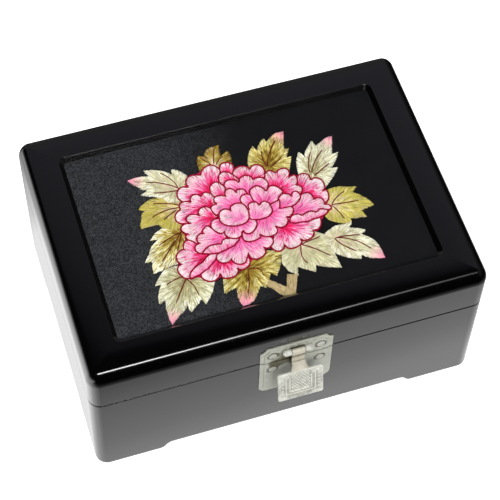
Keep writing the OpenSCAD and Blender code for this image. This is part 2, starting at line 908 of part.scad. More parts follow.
module catch_slot() {
    low = seam_z - catch_down - catch_t - fit_gap;
    translate([-catch_w * half - fit_gap, -plate_full_t - over, low])
        cube([catch_w + 2 * fit_gap, plate_full_t + 2 * over, catch_t + 2 * fit_gap]);
}

module clasp_catch() {
    color(nickel) stand() at_clasp() {
        translate([-catch_w * half, -catch_out, seam_z - catch_down - catch_t])
            cube([catch_w, catch_out, catch_t]);
        translate([-catch_w * half, -catch_out, seam_z - catch_down - catch_t])
            cube([catch_w, catch_t, catch_t + catch_lip]);
    }
}

module clasp_pin() {
    color(nickel) stand() at_clasp() {
        barrel_bar(clasp_pin_r, barrel_l + 2 * clasp_head_t);
        for (side = [-1, 1])
            translate([side * (barrel_l + clasp_head_t) * half, 0, 0])
                barrel_bar(clasp_head_r, clasp_head_t);
    }
}

module clasp_screws(up) {
    color(nickel) stand() at_clasp_screws(up) difference() {
        countersunk(screw_head_r, screw_r, screw_l, screw_dome);
        translate([0, 0, screw_dome]) cross_slot(screw_head_r);
    }
}

module clasp_lid_screws() {
    clasp_screws(1);
}

module clasp_base_screws() {
    clasp_screws(-1);
}

// One side of a strip of thickness t along a bent line, mitred at the bends; side is 1 or -1
function strip_side(points, t, side) = [
    for (i = [0 : len(points) - 1])
        let (
            before = i == 0 ? points[1] - points[0] : points[i] - points[i - 1],
            after = i == len(points) - 1 ? before : points[i + 1] - points[i],
            across = [-before[1], before[0]] / norm(before),
            mitre = across + [-after[1], after[0]] / norm(after)
        )
            points[i] + mitre * side * t * half / (mitre * across)
];

module bent_strip(points, t) {
    polygon(concat(strip_side(points, t, 1), backwards(strip_side(points, t, -1))));
}

module hasp_arm() {
    color(nickel) stand() at_clasp() difference() {
        union() {
            barrel_bar(barrel_r, tongue_w);
            translate([0, -barrel_out, barrel_z]) along_x(tongue_w) bent_strip([
                [-tongue_out, 0], [-bend_out, -bend_down], [-back_out, -back_down],
                [-neck_out, -neck_down]
            ], tongue_t);
        }
        barrel_bar(clasp_pin_r + fit_gap, tongue_w + 2 * over);
    }
}

// Raised pattern of the square plate, flat, middle of the top edge at the origin, Y downwards
module face_pattern() {
    dot_r = rim_w * half;
    difference() {
        translate([-face_w * half, 0]) square([face_w, face_h]);
        translate([-face_w * half + rim_w, rim_w]) square([face_w - 2 * rim_w, face_h - 2 * rim_w]);
    }
    dots = floor((face_h - 2 * dot_inset) / dot_pitch);
    for (side = [-1, 1], i = [0 : dots])
        translate([side * (face_w * half - dot_inset), dot_inset + i * (face_h - 2 * dot_inset) / dots])
            circle(dot_r, $fn = 24);
    for (ring = [0, 1]) {
        inset = fret_inset + ring * fret_step;
        for (side = [-1, 1])
            translate([side * (face_w * half - inset) - fret_w * half, inset - rim_w])
                square([fret_w, face_h - 2 * inset + rim_w]);
        translate([-face_w * half + inset, face_h - inset - fret_w])
            square([face_w - 2 * inset, fret_w]);
    }
    field_inset = fret_inset + 2 * fret_step - rim_w * half;
    field_w = face_w - 2 * field_inset;
    field_low = face_h - fret_inset - 2 * fret_step;
    row_pitch = (field_low - 2 * rim_w) / weave_rows;
    bar_pitch = field_w / weave_cols;
    for (row = [0 : weave_rows - 1], col = [0 : weave_cols - 1])
        translate([
            -field_w * half + (col + (row % 2) * half * half + half * half) * bar_pitch,
            2 * rim_w + row * row_pitch
        ]) square([bar_pitch * half, row_pitch * half]);
}

module hasp_plate() {
    color(nickel) stand() at_clasp() translate([0, -barrel_out, barrel_z]) {
        translate([0, -face_out, -face_down]) rotate([-face_tilt, 0, 0]) {
            translate([-face_w * half, -face_t, -face_h]) cube([face_w, face_t, face_h]);
            translate([0, -face_t + over, 0]) mirror([0, 0, 1]) rotate([90, 0, 0])
                linear_extrude(relief + over) face_pattern();
        }
        neck_plate();
    }
}

// Tapered neck of the square plate, which lies on the front of the tongue's lower bend
module neck_plate() {
    neck_l = norm([neck_out - back_out, neck_down - back_down]);
    translate([0, -back_out, -back_down]) rotate([-neck_angle, 0, 0])
        translate([0, -tongue_t * half, 0]) rotate([90, 0, 0]) linear_extrude(neck_t)
            polygon([
                [-neck_top_w * half, -tongue_t], [neck_top_w * half, -tongue_t],
                [neck_foot_w * half, -neck_l - neck_over], [-neck_foot_w * half, -neck_l - neck_over]
            ]);
}

lid_top_frame();
lid_front_rail();
lid_back_rail();
lid_left_rail();
lid_right_rail();
panel_board();
silk_panel();
peony_leaves();
peony_stem();
peony_petals();
lid_mirror();
mirror_surround();
lid_liner();
base_front_wall();
base_back_wall();
base_left_wall();
base_right_wall();
base_floor();
floor_liner();
wall_liner();
ring_rolls();
long_divider();
cross_divider();
short_divider();
hinge_base_leaves();
hinge_lid_leaves();
hinge_pins();
hinge_base_screws();
hinge_lid_screws();
clasp_lid_plate();
clasp_base_plate();
clasp_catch();
clasp_pin();
clasp_lid_screws();
clasp_base_screws();
hasp_arm();
hasp_plate();
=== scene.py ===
"""Looks of a lacquered keepsake box with an embroidered silk panel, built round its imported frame."""

import logging
import math
from collections.abc import Callable, Iterable, Sequence
from dataclasses import dataclass
from enum import Enum
from functools import cache

import bmesh
import bpy
import numpy as np
from mathutils import Matrix, Vector


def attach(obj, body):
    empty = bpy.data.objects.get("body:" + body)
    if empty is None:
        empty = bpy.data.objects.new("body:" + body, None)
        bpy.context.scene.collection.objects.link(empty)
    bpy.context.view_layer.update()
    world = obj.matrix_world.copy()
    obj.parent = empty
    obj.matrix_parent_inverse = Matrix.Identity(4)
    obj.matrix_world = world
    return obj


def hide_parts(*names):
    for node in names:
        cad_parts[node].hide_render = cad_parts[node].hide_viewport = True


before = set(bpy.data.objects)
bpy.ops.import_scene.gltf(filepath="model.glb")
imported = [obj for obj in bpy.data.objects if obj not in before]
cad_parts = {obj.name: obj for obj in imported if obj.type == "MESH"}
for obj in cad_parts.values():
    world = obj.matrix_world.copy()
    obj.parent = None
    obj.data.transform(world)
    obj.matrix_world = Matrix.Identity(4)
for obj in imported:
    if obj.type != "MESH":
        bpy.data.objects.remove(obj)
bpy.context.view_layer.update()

log = logging.getLogger("keepsake_box")
MM = 0.001
LEVEL = 0.02
ON_FACE = 0.05
Colour = tuple[float, float, float]
Socket = bpy.types.NodeSocket
Pairs = tuple[tuple[float, float], ...]


def linear(red: float, green: float, blue: float) -> Colour:
    """Turns a colour of 0 to 255 a channel, as it is seen, into the linear one that a shader takes.

    Args:
        red, green, blue: the seen colour's channels.

    Returns:
        The linear colour, 0 to 1 a channel.
    """
    shares = (channel / 255 for channel in (red, green, blue))
    return tuple(c / 12.92 if c <= 0.04045 else ((c + 0.055) / 1.055) ** 2.4 for c in shares)


# ---------------------------------------------------------------- shaders


class Signal:
    """A number socket of a shader. Sums and products of signals add Math nodes."""

    def __init__(self, shader: "Shader", socket: Socket) -> None:
        """Wraps a socket of a shader."""
        self.shader = shader
        self.socket = socket

    def math(self, operation: str, *values: "Signal | float") -> "Signal":
        """Adds a Math node on the values, in their order, and returns its result."""
        inputs = dict(enumerate(values))
        return self.shader.signal("ShaderNodeMath", {"operation": operation}, inputs)

    def __add__(self, other: "Signal | float") -> "Signal":
        """Adds a signal or number."""
        return self.math("ADD", self, other)

    def __sub__(self, other: "Signal | float") -> "Signal":
        """Subtracts a signal or number."""
        return self.math("SUBTRACT", self, other)

    def __rsub__(self, other: float) -> "Signal":
        """Subtracts this signal from a number."""
        return self.math("SUBTRACT", other, self)

    def __mul__(self, other: "Signal | float") -> "Signal":
        """Multiplies by a signal or number."""
        return self.math("MULTIPLY", self, other)

    __radd__ = __add__
    __rmul__ = __mul__

    def wave(self) -> "Signal":
        """The sine, moved into 0 to 1."""
        return self.math("SINE", self) * 0.5 + 0.5

    def at_most(self, other: "Signal | float") -> "Signal":
        """The lesser of this signal and another."""
        return self.math("MINIMUM", self, other)

    def at_least(self, other: "Signal | float") -> "Signal":
        """The greater of this signal and another."""
        return self.math("MAXIMUM", self, other)

    def size(self) -> "Signal":
        """The signal without its sign."""
        return self.math("ABSOLUTE", self)

    def fade(self, start: float, end: float) -> "Signal":
        """Turns start to end smoothly into 0 to 1."""
        inputs = {0: self, 1: start, 2: end, 3: 0.0, 4: 1.0}
        return self.shader.signal("ShaderNodeMapRange", {"interpolation_type": "SMOOTHSTEP"}, inputs)


class Nodes:
    """A node tree that is built node by node."""

    def __init__(self, tree: bpy.types.NodeTree) -> None:
        """Takes an empty tree."""
        self.tree = tree

    def node(self, kind: str, settings: dict | None = None, inputs: dict | None = None) -> bpy.types.Node:
        """Adds one node.

        Args:
            kind: the node's type.
            settings: its own settings, set first; stops are those of a colour ramp.
            inputs: a value, socket or signal for each named or numbered socket.

        Returns:
            The node.
        """
        made = self.tree.nodes.new(kind)
        for name, value in (settings or {}).items():
            if name == "stops":
                self._set_stops(made.color_ramp, value)
            else:
                setattr(made, name, value)
        for name, value in (inputs or {}).items():
            source = value.socket if isinstance(value, Signal) else value
            if isinstance(source, Socket):
                self.tree.links.new(source, made.inputs[name])
            elif isinstance(source, tuple) and len(source) == 3 and made.inputs[name].type == "RGBA":
                made.inputs[name].default_value = (*source, 1.0)
            else:
                made.inputs[name].default_value = source
        return made

    @staticmethod
    def _set_stops(ramp: bpy.types.ColorRamp, stops: Sequence[tuple[float, Colour]]) -> None:
        """Gives a colour ramp its stops."""
        while len(ramp.elements) < len(stops):
            ramp.elements.new(0.5)
        for element, (place, colour) in zip(ramp.elements, stops):
            element.position = place
            element.color = (*colour, 1.0)


class Shader(Nodes):
    """A material, or a world's surface, that is built node by node."""

    def __init__(self, name: str, world: bpy.types.World | None = None) -> None:
        """Empties a world's nodes, or makes an empty material of that name."""
        self.owner = world or bpy.data.materials.new(name)
        self.owner.use_nodes = True
        super().__init__(self.owner.node_tree)
        self.tree.nodes.clear()

    def signal(self, kind: str, settings: dict | None = None, inputs: dict | None = None,
               output: int | str = 0) -> Signal:
        """Adds one node and wraps one of its outputs as a signal."""
        return Signal(self, self.node(kind, settings, inputs).outputs[output])

    def place(self, scale: Colour = (1.0, 1.0, 1.0), turn: float = 0.0) -> Socket:
        """Object coordinates in millimetres, stretched by scale and turned about Z."""
        source = self.node("ShaderNodeTexCoord").outputs["Object"]
        stretch = tuple(s / MM for s in scale)
        inputs = {"Vector": source, "Scale": stretch, "Rotation": (0.0, 0.0, turn)}
        return self.node("ShaderNodeMapping", {}, inputs).outputs[0]

    def noise(self, place: Socket, scale: float, detail: float = 2.0, rough: float = 0.5) -> Signal:
        """Noise of 0 to 1 whose grains are about 1 / scale millimetres wide."""
        inputs = {"Vector": place, "Scale": scale, "Detail": detail, "Roughness": rough}
        return self.signal("ShaderNodeTexNoise", {}, inputs)

    def axis(self, place: Socket, name: str) -> Signal:
        """One coordinate of a place."""
        return self.signal("ShaderNodeSeparateXYZ", {}, {0: place}, name)

    def mix(self, share: Signal | float, low: Socket | Colour, high: Socket | Colour,
            blend: str = "MIX") -> Socket:
        """Blends two colours by a share of 0 to 1."""
        settings = {"data_type": "RGBA", "blend_type": blend}
        return self.node("ShaderNodeMix", settings, {0: share, 6: low, 7: high}).outputs[2]

    def ramp(self, share: Signal, stops: Sequence[tuple[float, Colour]]) -> Socket:
        """A colour for each value of a signal."""
        return self.node("ShaderNodeValToRGB", {"stops": stops}, {0: share}).outputs[0]

    def bump(self, height: Signal, depth: float, strength: float = 1.0) -> Socket:
        """The normal of a surface raised by height, with depth in millimetres."""
        inputs = {"Height": height, "Distance": depth * MM, "Strength": strength}
        return self.node("ShaderNodeBump", {}, inputs).outputs[0]

    def surface(self, **inputs: Signal | Socket | float | Colour) -> bpy.types.Material:
        """Ends the material in a Principled shader; underscores in names stand for spaces."""
        sockets = {name.replace("_", " "): value for name, value in inputs.items()}
        return self.end(self.node("ShaderNodeBsdfPrincipled", {}, sockets).outputs[0])

    def end(self, source: Socket) -> bpy.types.Material:
        """Ends the material in the given shader."""
        self.node("ShaderNodeOutputMaterial", {}, {"Surface": source})
        return self.owner


# ---------------------------------------------------------------- finishes


@dataclass(frozen=True)
class Finish:
    """A finish of the box, and the record's slot that it belongs to."""

    slot: str

    def material(self) -> bpy.types.Material:
        """Builds the finish's material."""
        raise NotImplementedError


@dataclass(frozen=True)
class Lacquer(Finish):
    """Black gloss lacquer in two coats over smooth board."""

    slot: str = "black_lacquer"
    tone: Colour = (0.0006, 0.0006, 0.0008)
    under_gloss: float = 0.2
    ripple: float = 0.012

    @cache
    def material(self) -> bpy.types.Material:
        """Builds the lacquer: a soft lower coat, a clear gloss coat and a faint ripple."""
        s = Shader("gloss_lacquer")
        place = s.place()
        cloud = s.noise(place, 0.05, 3.0)
        peel = s.noise(place, 0.45, 1.0)
        dust = s.noise(place, 3.0, 2.0).fade(0.68, 0.8)
        return s.surface(
            Base_Color=s.mix(dust * 0.2, self.tone, (0.03, 0.03, 0.032)),
            Roughness=cloud * 0.08 + (self.under_gloss - 0.04) + dust * 0.1,
            IOR=1.5, Coat_Weight=1.0, Coat_Roughness=0.045, Coat_IOR=1.5,
            Normal=s.bump(peel, self.ripple, 0.5),
        )


@dataclass(frozen=True)
class Nickel(Finish):
    """Plated sheet metal with fine rub marks, darker blotches and any spots of painted shade.

    A spot of painted shade is its place in X and Z and its half width and half height, in millimetres; a
    depth says how far the spots darken.
    """

    slot: str = "clasp_nickel"
    tone: Colour = linear(212, 212, 203)
    hollow: Colour = linear(74, 70, 44)
    roughness: float = 0.34
    metal: float = 0.2
    soiled: tuple[tuple[float, float, float, float], ...] = ()
    soil: float = 0.85

    @cache
    def material(self) -> bpy.types.Material:
        """Builds the metal: blotched tone, rub marks along X, painted shade in any spots and a grained bump.
        """
        s = Shader(f"{self.slot}_{len(self.soiled)}_spots")
        place = s.place()
        blotch = s.noise(place, 0.35, 4.0, 0.6)
        rub = s.noise(s.place((0.25, 4.0, 4.0)), 1.5, 3.0, 0.6)
        grain = s.noise(place, 4.0, 2.0)
        dark = blotch.fade(0.62, 0.25) * 0.22
        # painted shade: each spot darkens the metal further towards the darker tone, on top of the blotches
        for x, z, wide, high in self.soiled:
            across = (s.axis(place, "X") - x) * (1 / wide)
            up = (s.axis(place, "Z") - z) * (1 / high)
            far = across * across + up * up + blotch * 0.9
            dark = (dark + far.fade(1.7, 0.9) * self.soil).at_most(1.0)
        return s.surface(
            Base_Color=s.mix(dark, self.tone, self.hollow),
            Metallic=self.metal,
            Roughness=rub * 0.16 + blotch * 0.08 + (self.roughness - 0.12),
            Normal=s.bump(rub * 0.6 + grain * 0.4, 0.02, 0.35),
        )


@dataclass(frozen=True)
class Velvet(Finish):
    """Short-pile burgundy velvet."""

    slot: str = "burgundy_velvet"
    tone: Colour = (0.10, 0.006, 0.018)
    light: Colour = (0.26, 0.02, 0.05)

    @cache
    def material(self) -> bpy.types.Material:
        """Builds the velvet: brushed patches, fine pile and a pale sheen."""
        s = Shader("velvet_pile")
        place = s.place()
        patch = s.noise(place, 0.06, 3.0, 0.6)
        pile = s.noise(place, 6.0, 2.0, 0.7)
        return s.surface(
            Base_Color=s.mix(patch.fade(0.35, 0.7) * 0.6 + pile * 0.3, self.tone, self.light),
            Roughness=0.9, Sheen_Weight=0.8, Sheen_Roughness=0.35, Sheen_Tint=(1.0, 0.45, 0.5, 1.0),
            Normal=s.bump(pile + patch * 0.5, 0.15, 0.6),
        )


@dataclass(frozen=True)
class MirrorGlass(Finish):
    """Silvered mirror glass."""

    slot: str = "mirror_glass"

    @cache
    def material(self) -> bpy.types.Material:
        """Builds the mirror: a near perfect reflection with faint smears."""
        s = Shader("silvered_glass")
        smear = s.noise(s.place((0.4, 1.0, 1.0), 0.5), 0.08, 4.0, 0.6)
        return s.surface(
            Base_Color=s.mix(smear * 0.4, (0.82, 0.85, 0.86), (0.74, 0.79, 0.79)),
            Metallic=1.0, Roughness=smear.fade(0.5, 0.85) * 0.05 + 0.01,
            Coat_Weight=1.0, Coat_Roughness=0.01,
        )


@dataclass(frozen=True)
class Board(Finish):
    """Fibre board or plywood with a fine directional grain."""

    slot: str = "fibre_board"
    tone: Colour = (0.32, 0.20, 0.11)
    dark: Colour = (0.17, 0.10, 0.05)

    @cache
    def material(self) -> bpy.types.Material:
        """Builds the board: streaks along X, flecks and a matt surface."""
        s = Shader(f"{self.slot}_grain")
        streak = s.noise(s.place((0.05, 1.0, 1.0)), 1.2, 4.0, 0.6)
        fleck = s.noise(s.place(), 2.5, 3.0, 0.7)
        return s.surface(
            Base_Color=s.mix(streak * 0.6 + fleck * 0.4, self.dark, self.tone),
            Roughness=fleck * 0.2 + 0.6,
            Normal=s.bump(streak + fleck, 0.06, 0.5),
        )


@dataclass(frozen=True)
class Silk(Finish):
    """Plain-woven black silk with slubs; a painted sheen makes it paler at its left, where it is also
    rougher.
    """

    slot: str = "black_silk"
    rubbed: tuple[Colour, Colour] = (linear(4, 5, 6), linear(66, 68, 72))
    fresh: tuple[Colour, Colour] = (linear(8, 8, 11), linear(20, 21, 24))
    pitch: float = 0.42

    @cache
    def material(self) -> bpy.types.Material:
        """Builds the silk: warp over weft, slubs, a tone that is grainy where the painted sheen pales it at
        the left, a low sheen.
        """
        s = Shader("plain_silk")
        place = s.place()
        turn = 2 * math.pi / self.pitch
        warp = (s.axis(place, "X") * turn).wave()
        weft = (s.axis(place, "Y") * turn).wave()
        weave = warp * weft + (1 - warp) * (1 - weft)
        slub = s.noise(s.place((1.0, 0.12, 1.0)), 1.1, 3.0, 0.6)
        grain = s.noise(place, 1.3, 3.0, 0.75)
        cloud = s.noise(place, 0.04, 2.0)
        # rub: the left side's share, where the colour carries a painted sheen and the bump is stronger
        rub = (s.axis(place, "X") + cloud * 30).fade(30.0, -35.0)
        tone = grain.fade(0.42, 0.66) * 0.8 + slub * 0.2
        return s.surface(
            Base_Color=s.mix(rub, s.mix(tone * 0.5 + cloud * 0.5, *self.fresh), s.mix(tone, *self.rubbed)),
            Roughness=0.68 + grain * 0.15, Specular_IOR_Level=0.25,
            Sheen_Weight=0.05, Sheen_Roughness=0.4,
            Normal=s.bump(weave + slub * 0.8 + grain * rub, 0.09, 0.6),
        )


@dataclass(frozen=True)
class Thread(Finish):
    """Silk thread, whose colour is painted on each stitch."""

    slot: str = "petal_thread"
    roughness: float = 0.5
    lay: str = "floss"
    gloss: float = 0.3
    sheen: float = 0.08

    @cache
    def material(self) -> bpy.types.Material:
        """Builds the thread: its painted colour, fine filaments along it and a silk sheen."""
        s = Shader(f"{self.slot}_{self.lay}")
        paint = s.node("ShaderNodeAttribute", {"attribute_name": "thread"}).outputs["Color"]
        strand = s.node("ShaderNodeUVMap", {"uv_map": "strand"}).outputs[0]
        round_way = s.axis(strand, "X")
        along = s.axis(strand, "Y")
        twist = (round_way * (10 * math.pi) + along * 9.0).wave()
        fleck = s.noise(s.place(), 1.8, 2.0)
        shade = twist * 0.08 + fleck * 0.10
        return s.surface(
            Base_Color=s.mix(shade, paint, (0.12, 0.03, 0.05), "MULTIPLY"),
            Roughness=self.roughness + twist * 0.12,
            Specular_IOR_Level=self.gloss, Sheen_Weight=self.sheen, Sheen_Roughness=0.35,
            Normal=s.bump(twist, 0.05, 0.5),
        )


LACQUER = Lacquer()
CLASP_NICKEL = Nickel()
CLASP_X = 2.2
# Painted shade: dark spots on the clasp plates beside the barrel and the hasp's tongue, for their shadow and
# dark reflection.
BARREL_SOIL = ((1.0, 76.0, 9.5, 7.0), (-7.0, 69.0, 7.0, 5.0))
# Painted shadow: a dark ring round each screw head on the plates.
SCREW_SOIL = tuple((CLASP_X + x, z, 3.7, 3.7) for x in (-13.5, 13.5) for z in (77.2, 62.8))
# Painted shade: the plates take a darker tone than the rest of the clasp, as if shadowed by the hasp.
PLATE_NICKEL = Nickel(tone=linear(178, 180, 168), soiled=BARREL_SOIL + SCREW_SOIL)
# Painted shade: the tongue darkens in a band along the barrel.
TONGUE_NICKEL = Nickel(tone=linear(200, 195, 178), hollow=linear(92, 80, 52),
                       soiled=((CLASP_X, 76.4, 9.0, 1.6),), soil=0.7)
# Painted light and shade: the face plate's field darkens towards its middle as shaded hollows, and the studs
# and frets take a paler tone as lit bumps.
FACE_NICKEL = Nickel(tone=linear(222, 222, 213), soiled=((CLASP_X, 55.0, 13.5, 12.5),), soil=0.42)
STUD_NICKEL = Nickel(tone=linear(232, 232, 222))
SCREW_NICKEL = Nickel("screw_nickel", linear(208, 208, 198), linear(64, 60, 38), roughness=0.28, metal=0.4)
HINGE_STEEL = Nickel("hinge_steel", linear(200, 198, 190), linear(130, 126, 112), roughness=0.3, metal=0.6)
VELVET = Velvet()
MIRROR = MirrorGlass()
FIBRE_BOARD = Board()
FLOOR_BOARD = Board("floor_board", (0.40, 0.27, 0.15), (0.24, 0.15, 0.08))
SILK = Silk()
PETAL_THREAD = Thread("petal_thread", 0.5)
LEAF_THREAD = Thread("leaf_thread", 0.52)
STEM_THREAD = Thread("stem_thread", 0.55)
OUTLINE_THREAD = Thread("petal_thread", roughness=0.6, lay="twist", gloss=0.12, sheen=0.0)
VEIN_THREAD = Thread("leaf_thread", roughness=0.6, lay="twist", gloss=0.12, sheen=0.0)


# ---------------------------------------------------------------- pieces


def piece(name: str, points: Iterable[Sequence[float]], faces: Iterable[Sequence[int]] = (),
          edges: Iterable[Sequence[int]] = ()) -> bpy.types.Object:
    """Makes a mesh object from points in metres.

    Args:
        name: the object's name.
        points, faces, edges: the mesh.

    Returns:
        The linked object.
    """
    mesh = bpy.data.meshes.new(name)
    mesh.from_pydata([tuple(p) for p in points], [tuple(e) for e in edges], [tuple(f) for f in faces])
    mesh.update()
    obj = bpy.data.objects.new(name, mesh)
    bpy.context.scene.collection.objects.link(obj)
    return obj


def smooth(obj: bpy.types.Object, sharp: float = 35.0) -> None:
    """Shades a mesh smoothly, but for edges sharper than an angle in degrees."""
    obj.data.shade_smooth()
    obj.data.set_sharp_from_angle(angle=math.radians(sharp))


def settle(obj: bpy.types.Object) -> None:
    """Applies an object's modifiers to its mesh, and removes them."""
    evaluated = obj.evaluated_get(bpy.context.evaluated_depsgraph_get())
    mesh = bpy.data.meshes.new_from_object(evaluated)
    obj.modifiers.clear()
    obj.data = mesh


def dress(obj: bpy.types.Object, finish: Finish, body: str, replaced: Sequence[str] = ()) -> None:
    """Gives a finished piece its material and body, and hides the nodes it stands for."""
    obj.data.materials.clear()
    obj.data.materials.append(finish.material())
    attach(obj, body)
    if replaced:
        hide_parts(*replaced)
    log.info("%s: %d faces on %s", obj.name, len(obj.data.polygons), body)


def repaint(node: str, finish: Finish) -> None:
    """Gives a CAD node a better material, and leaves its shape."""
    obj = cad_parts[node]
    obj.data.materials.clear()
    obj.data.materials.append(finish.material())


def merged_copy(node: str, name: str) -> bpy.types.Object:
    """Copies a CAD node's loose triangles into a mesh of whole faces.

    Args:
        node: the CAD node.
        name: the copy's name.

    Returns:
        The copy, in the node's place.
    """
    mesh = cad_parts[node].data.copy()
    mesh.materials.clear()
    form = bmesh.new()
    form.from_mesh(mesh)
    bmesh.ops.remove_doubles(form, verts=form.verts, dist=0.002 * MM)
    flat = math.radians(0.3)
    bmesh.ops.dissolve_limit(form, angle_limit=flat, verts=form.verts, edges=form.edges)
    form.to_mesh(mesh)
    form.free()
    mesh.name = name
    obj = bpy.data.objects.new(name, mesh)
    bpy.context.scene.collection.objects.link(obj)
    return obj


def round_edges(obj: bpy.types.Object, width: float, segments: int = 3,
                pick: Callable[[Vector, Vector], bool] | None = None, angle: float = 30.0) -> None:
    """Rounds the sharp edges of a mesh.

    Args:
        obj: the piece.
        width: the rounding in millimetres.
        segments: steps of the rounding.
        pick: says of an edge's two ends, in millimetres, whether it is rounded; None rounds all.
        angle: the least angle of a rounded edge, in degrees.
    """
    bevel = obj.modifiers.new("round", "BEVEL")
    bevel.width = width * MM
    bevel.segments = segments
    bevel.harden_normals = False
    bevel.use_clamp_overlap = True
    bevel.angle_limit = math.radians(angle)
    if pick is not None:
        mesh = obj.data
        weights = mesh.attributes.new("bevel_weight_edge", "FLOAT", "EDGE")
        for edge in mesh.edges:
            ends = [mesh.vertices[v].co / MM for v in edge.vertices]
            weights.data[edge.index].value = 1.0 if pick(*ends) else 0.0
        bevel.limit_method = "WEIGHT"
    settle(obj)
    smooth(obj)
    even = obj.modifiers.new("even", "WEIGHTED_NORMAL")
    even.keep_sharp = True
    settle(obj)


def closed_strip(rings: Sequence[Sequence[Vector]]) -> tuple[list[Vector], list[list[int]]]:
    """Joins rings of equal length, and the last with the first, into one closed skin."""
    count = len(rings[0])
    points = [p for ring in rings for p in ring]
    faces = []
    for row in range(len(rings)):
        low, high = row * count, (row + 1) % len(rings) * count
        for i in range(count):
            j = (i + 1) % count
            faces.append([low + i, low + j, high + j, high + i])
    return points, faces


def capped_strip(rings: Sequence[Sequence[Vector]]) -> tuple[list[Vector], list[list[int]]]:
    """Joins rings of equal length into one skin with a flat face at each end."""
    count, last = len(rings[0]), (len(rings) - 1) * len(rings[0])
    points, faces = closed_strip(rings)
    return points, [*faces[:-count], list(range(count)), list(range(last, last + count))]


def face_outwards(obj: bpy.types.Object) -> None:
    """Turns all faces of a closed mesh outwards."""
    form = bmesh.new()
    form.from_mesh(obj.data)
    bmesh.ops.recalc_face_normals(form, faces=form.faces)
    form.to_mesh(obj.data)
    form.free()


# ---------------------------------------------------------------- geometry trees


class Tree(Nodes):
    """A Geometry Nodes tree with named inputs."""

    def __init__(self, name: str) -> None:
        """Makes an empty tree with a Geometry input and output."""
        super().__init__(bpy.data.node_groups.new(name, "GeometryNodeTree"))
        for way in ("INPUT", "OUTPUT"):
            self.tree.interface.new_socket("Geometry", in_out=way, socket_type="NodeSocketGeometry")
        self.entry = self.tree.nodes.new("NodeGroupInput")
        self.values: dict[str, object] = {}

    def value(self, name: str, kind: str, value: object) -> Socket:
        """Adds a named input, remembers the value it is to have, and returns its socket."""
        item = self.tree.interface.new_socket(name, in_out="INPUT", socket_type=f"NodeSocket{kind}")
        self.values[item.identifier] = value
        return self.entry.outputs[name]

    def out(self, kind: str, settings: dict | None = None, inputs: dict | None = None,
            output: int | str = 0) -> Socket:
        """Adds one node and returns one of its outputs."""
        return self.node(kind, settings, inputs).outputs[output]

    def capture(self, geometry: Socket, name: str, value: Socket) -> tuple[Socket, Socket]:
        """Keeps a field's values on a geometry, and returns the geometry and the kept values."""
        keep = self.tree.nodes.new("GeometryNodeCaptureAttribute")
        keep.capture_items.new("FLOAT", name)
        self.tree.links.new(geometry, keep.inputs[0])
        self.tree.links.new(value, keep.inputs[name])
        return keep.outputs[0], keep.outputs[name]

    def finish(self, geometry: Socket, finish: Finish) -> None:
        """Ends the tree in Realize Instances and Set Material."""
        material = self.value("Material", "Material", finish.material())
        real = self.out("GeometryNodeRealizeInstances", {}, {0: geometry})
        done = self.out("GeometryNodeSetMaterial", {}, {0: real, 2: material})
        self.node("NodeGroupOutput", {}, {0: done})

    def grow(self, obj: bpy.types.Object) -> None:
        """Runs the tree on an object and keeps the result as its plain mesh."""
        modifier = obj.modifiers.new("grow", "NODES")
        modifier.node_group = self.tree
        for identifier, value in self.values.items():
            modifier[identifier] = value
        settle(obj)


# ---------------------------------------------------------------- wooden box


@dataclass(frozen=True)
class Plan:
    """Sizes of the box that its sub-assemblies share, in millimetres."""

    length: float = 224.0
    depth: float = 160.0
    height: float = 100.0
    seam: float = 70.0
    seam_gap: float = 0.5
    corner: float = 7.0
    stile: float = 22.2
    rail: float = 21.5
    window_corner: float = 2.0
    lip: float = 2.0
    lap: float = 4.0
    lid_top: float = 91.5
    foot: float = 5.0
    set_back: float = 6.35265

    @property
    def window(self) -> tuple[float, float]:
        """Half of the window's length and depth."""
        return self.length / 2 - self.stile, self.depth / 2 - self.rail

    @property
    def silk(self) -> float:
        """Height of the silk's face."""
        return self.height - self.lip

    def at(self, x: float, y: float, z: float) -> Vector:
        """A point measured from the middle of the box, in metres in the frame."""
        return Vector((x, y + self.set_back, z)) * MM

    def ring(self, half_l: float, half_d: float, radius: float, z: float, steps: int = 10) -> list[Vector]:
        """A rounded rectangle at a height, anticlockwise from the right of the front.

        Args:
            half_l, half_d: half of its length and depth.
            radius: its corners' radius.
            z: its height.
            steps: steps of each corner.

        Returns:
            Its points in metres.
        """
        points = []
        for corner, (sx, sy) in enumerate(((1, -1), (1, 1), (-1, 1), (-1, -1))):
            for step in range(steps + 1):
                turn = math.radians(-90 + 90 * (corner + step / steps))
                x = sx * (half_l - radius) + radius * math.cos(turn)
                y = sy * (half_d - radius) + radius * math.sin(turn)
                points.append(self.at(x, y, z))
        return points

    def edge_gap(self, point: Vector) -> float:
        """How far inside the box's outline a point in millimetres lies, seen from above."""
        x = abs(point.x) - (self.length / 2 - self.corner)
        y = abs(point.y - self.set_back) - (self.depth / 2 - self.corner)
        outside = math.hypot(max(x, 0), max(y, 0)) + min(max(x, y), 0)
        return self.corner - outside


PLAN = Plan()


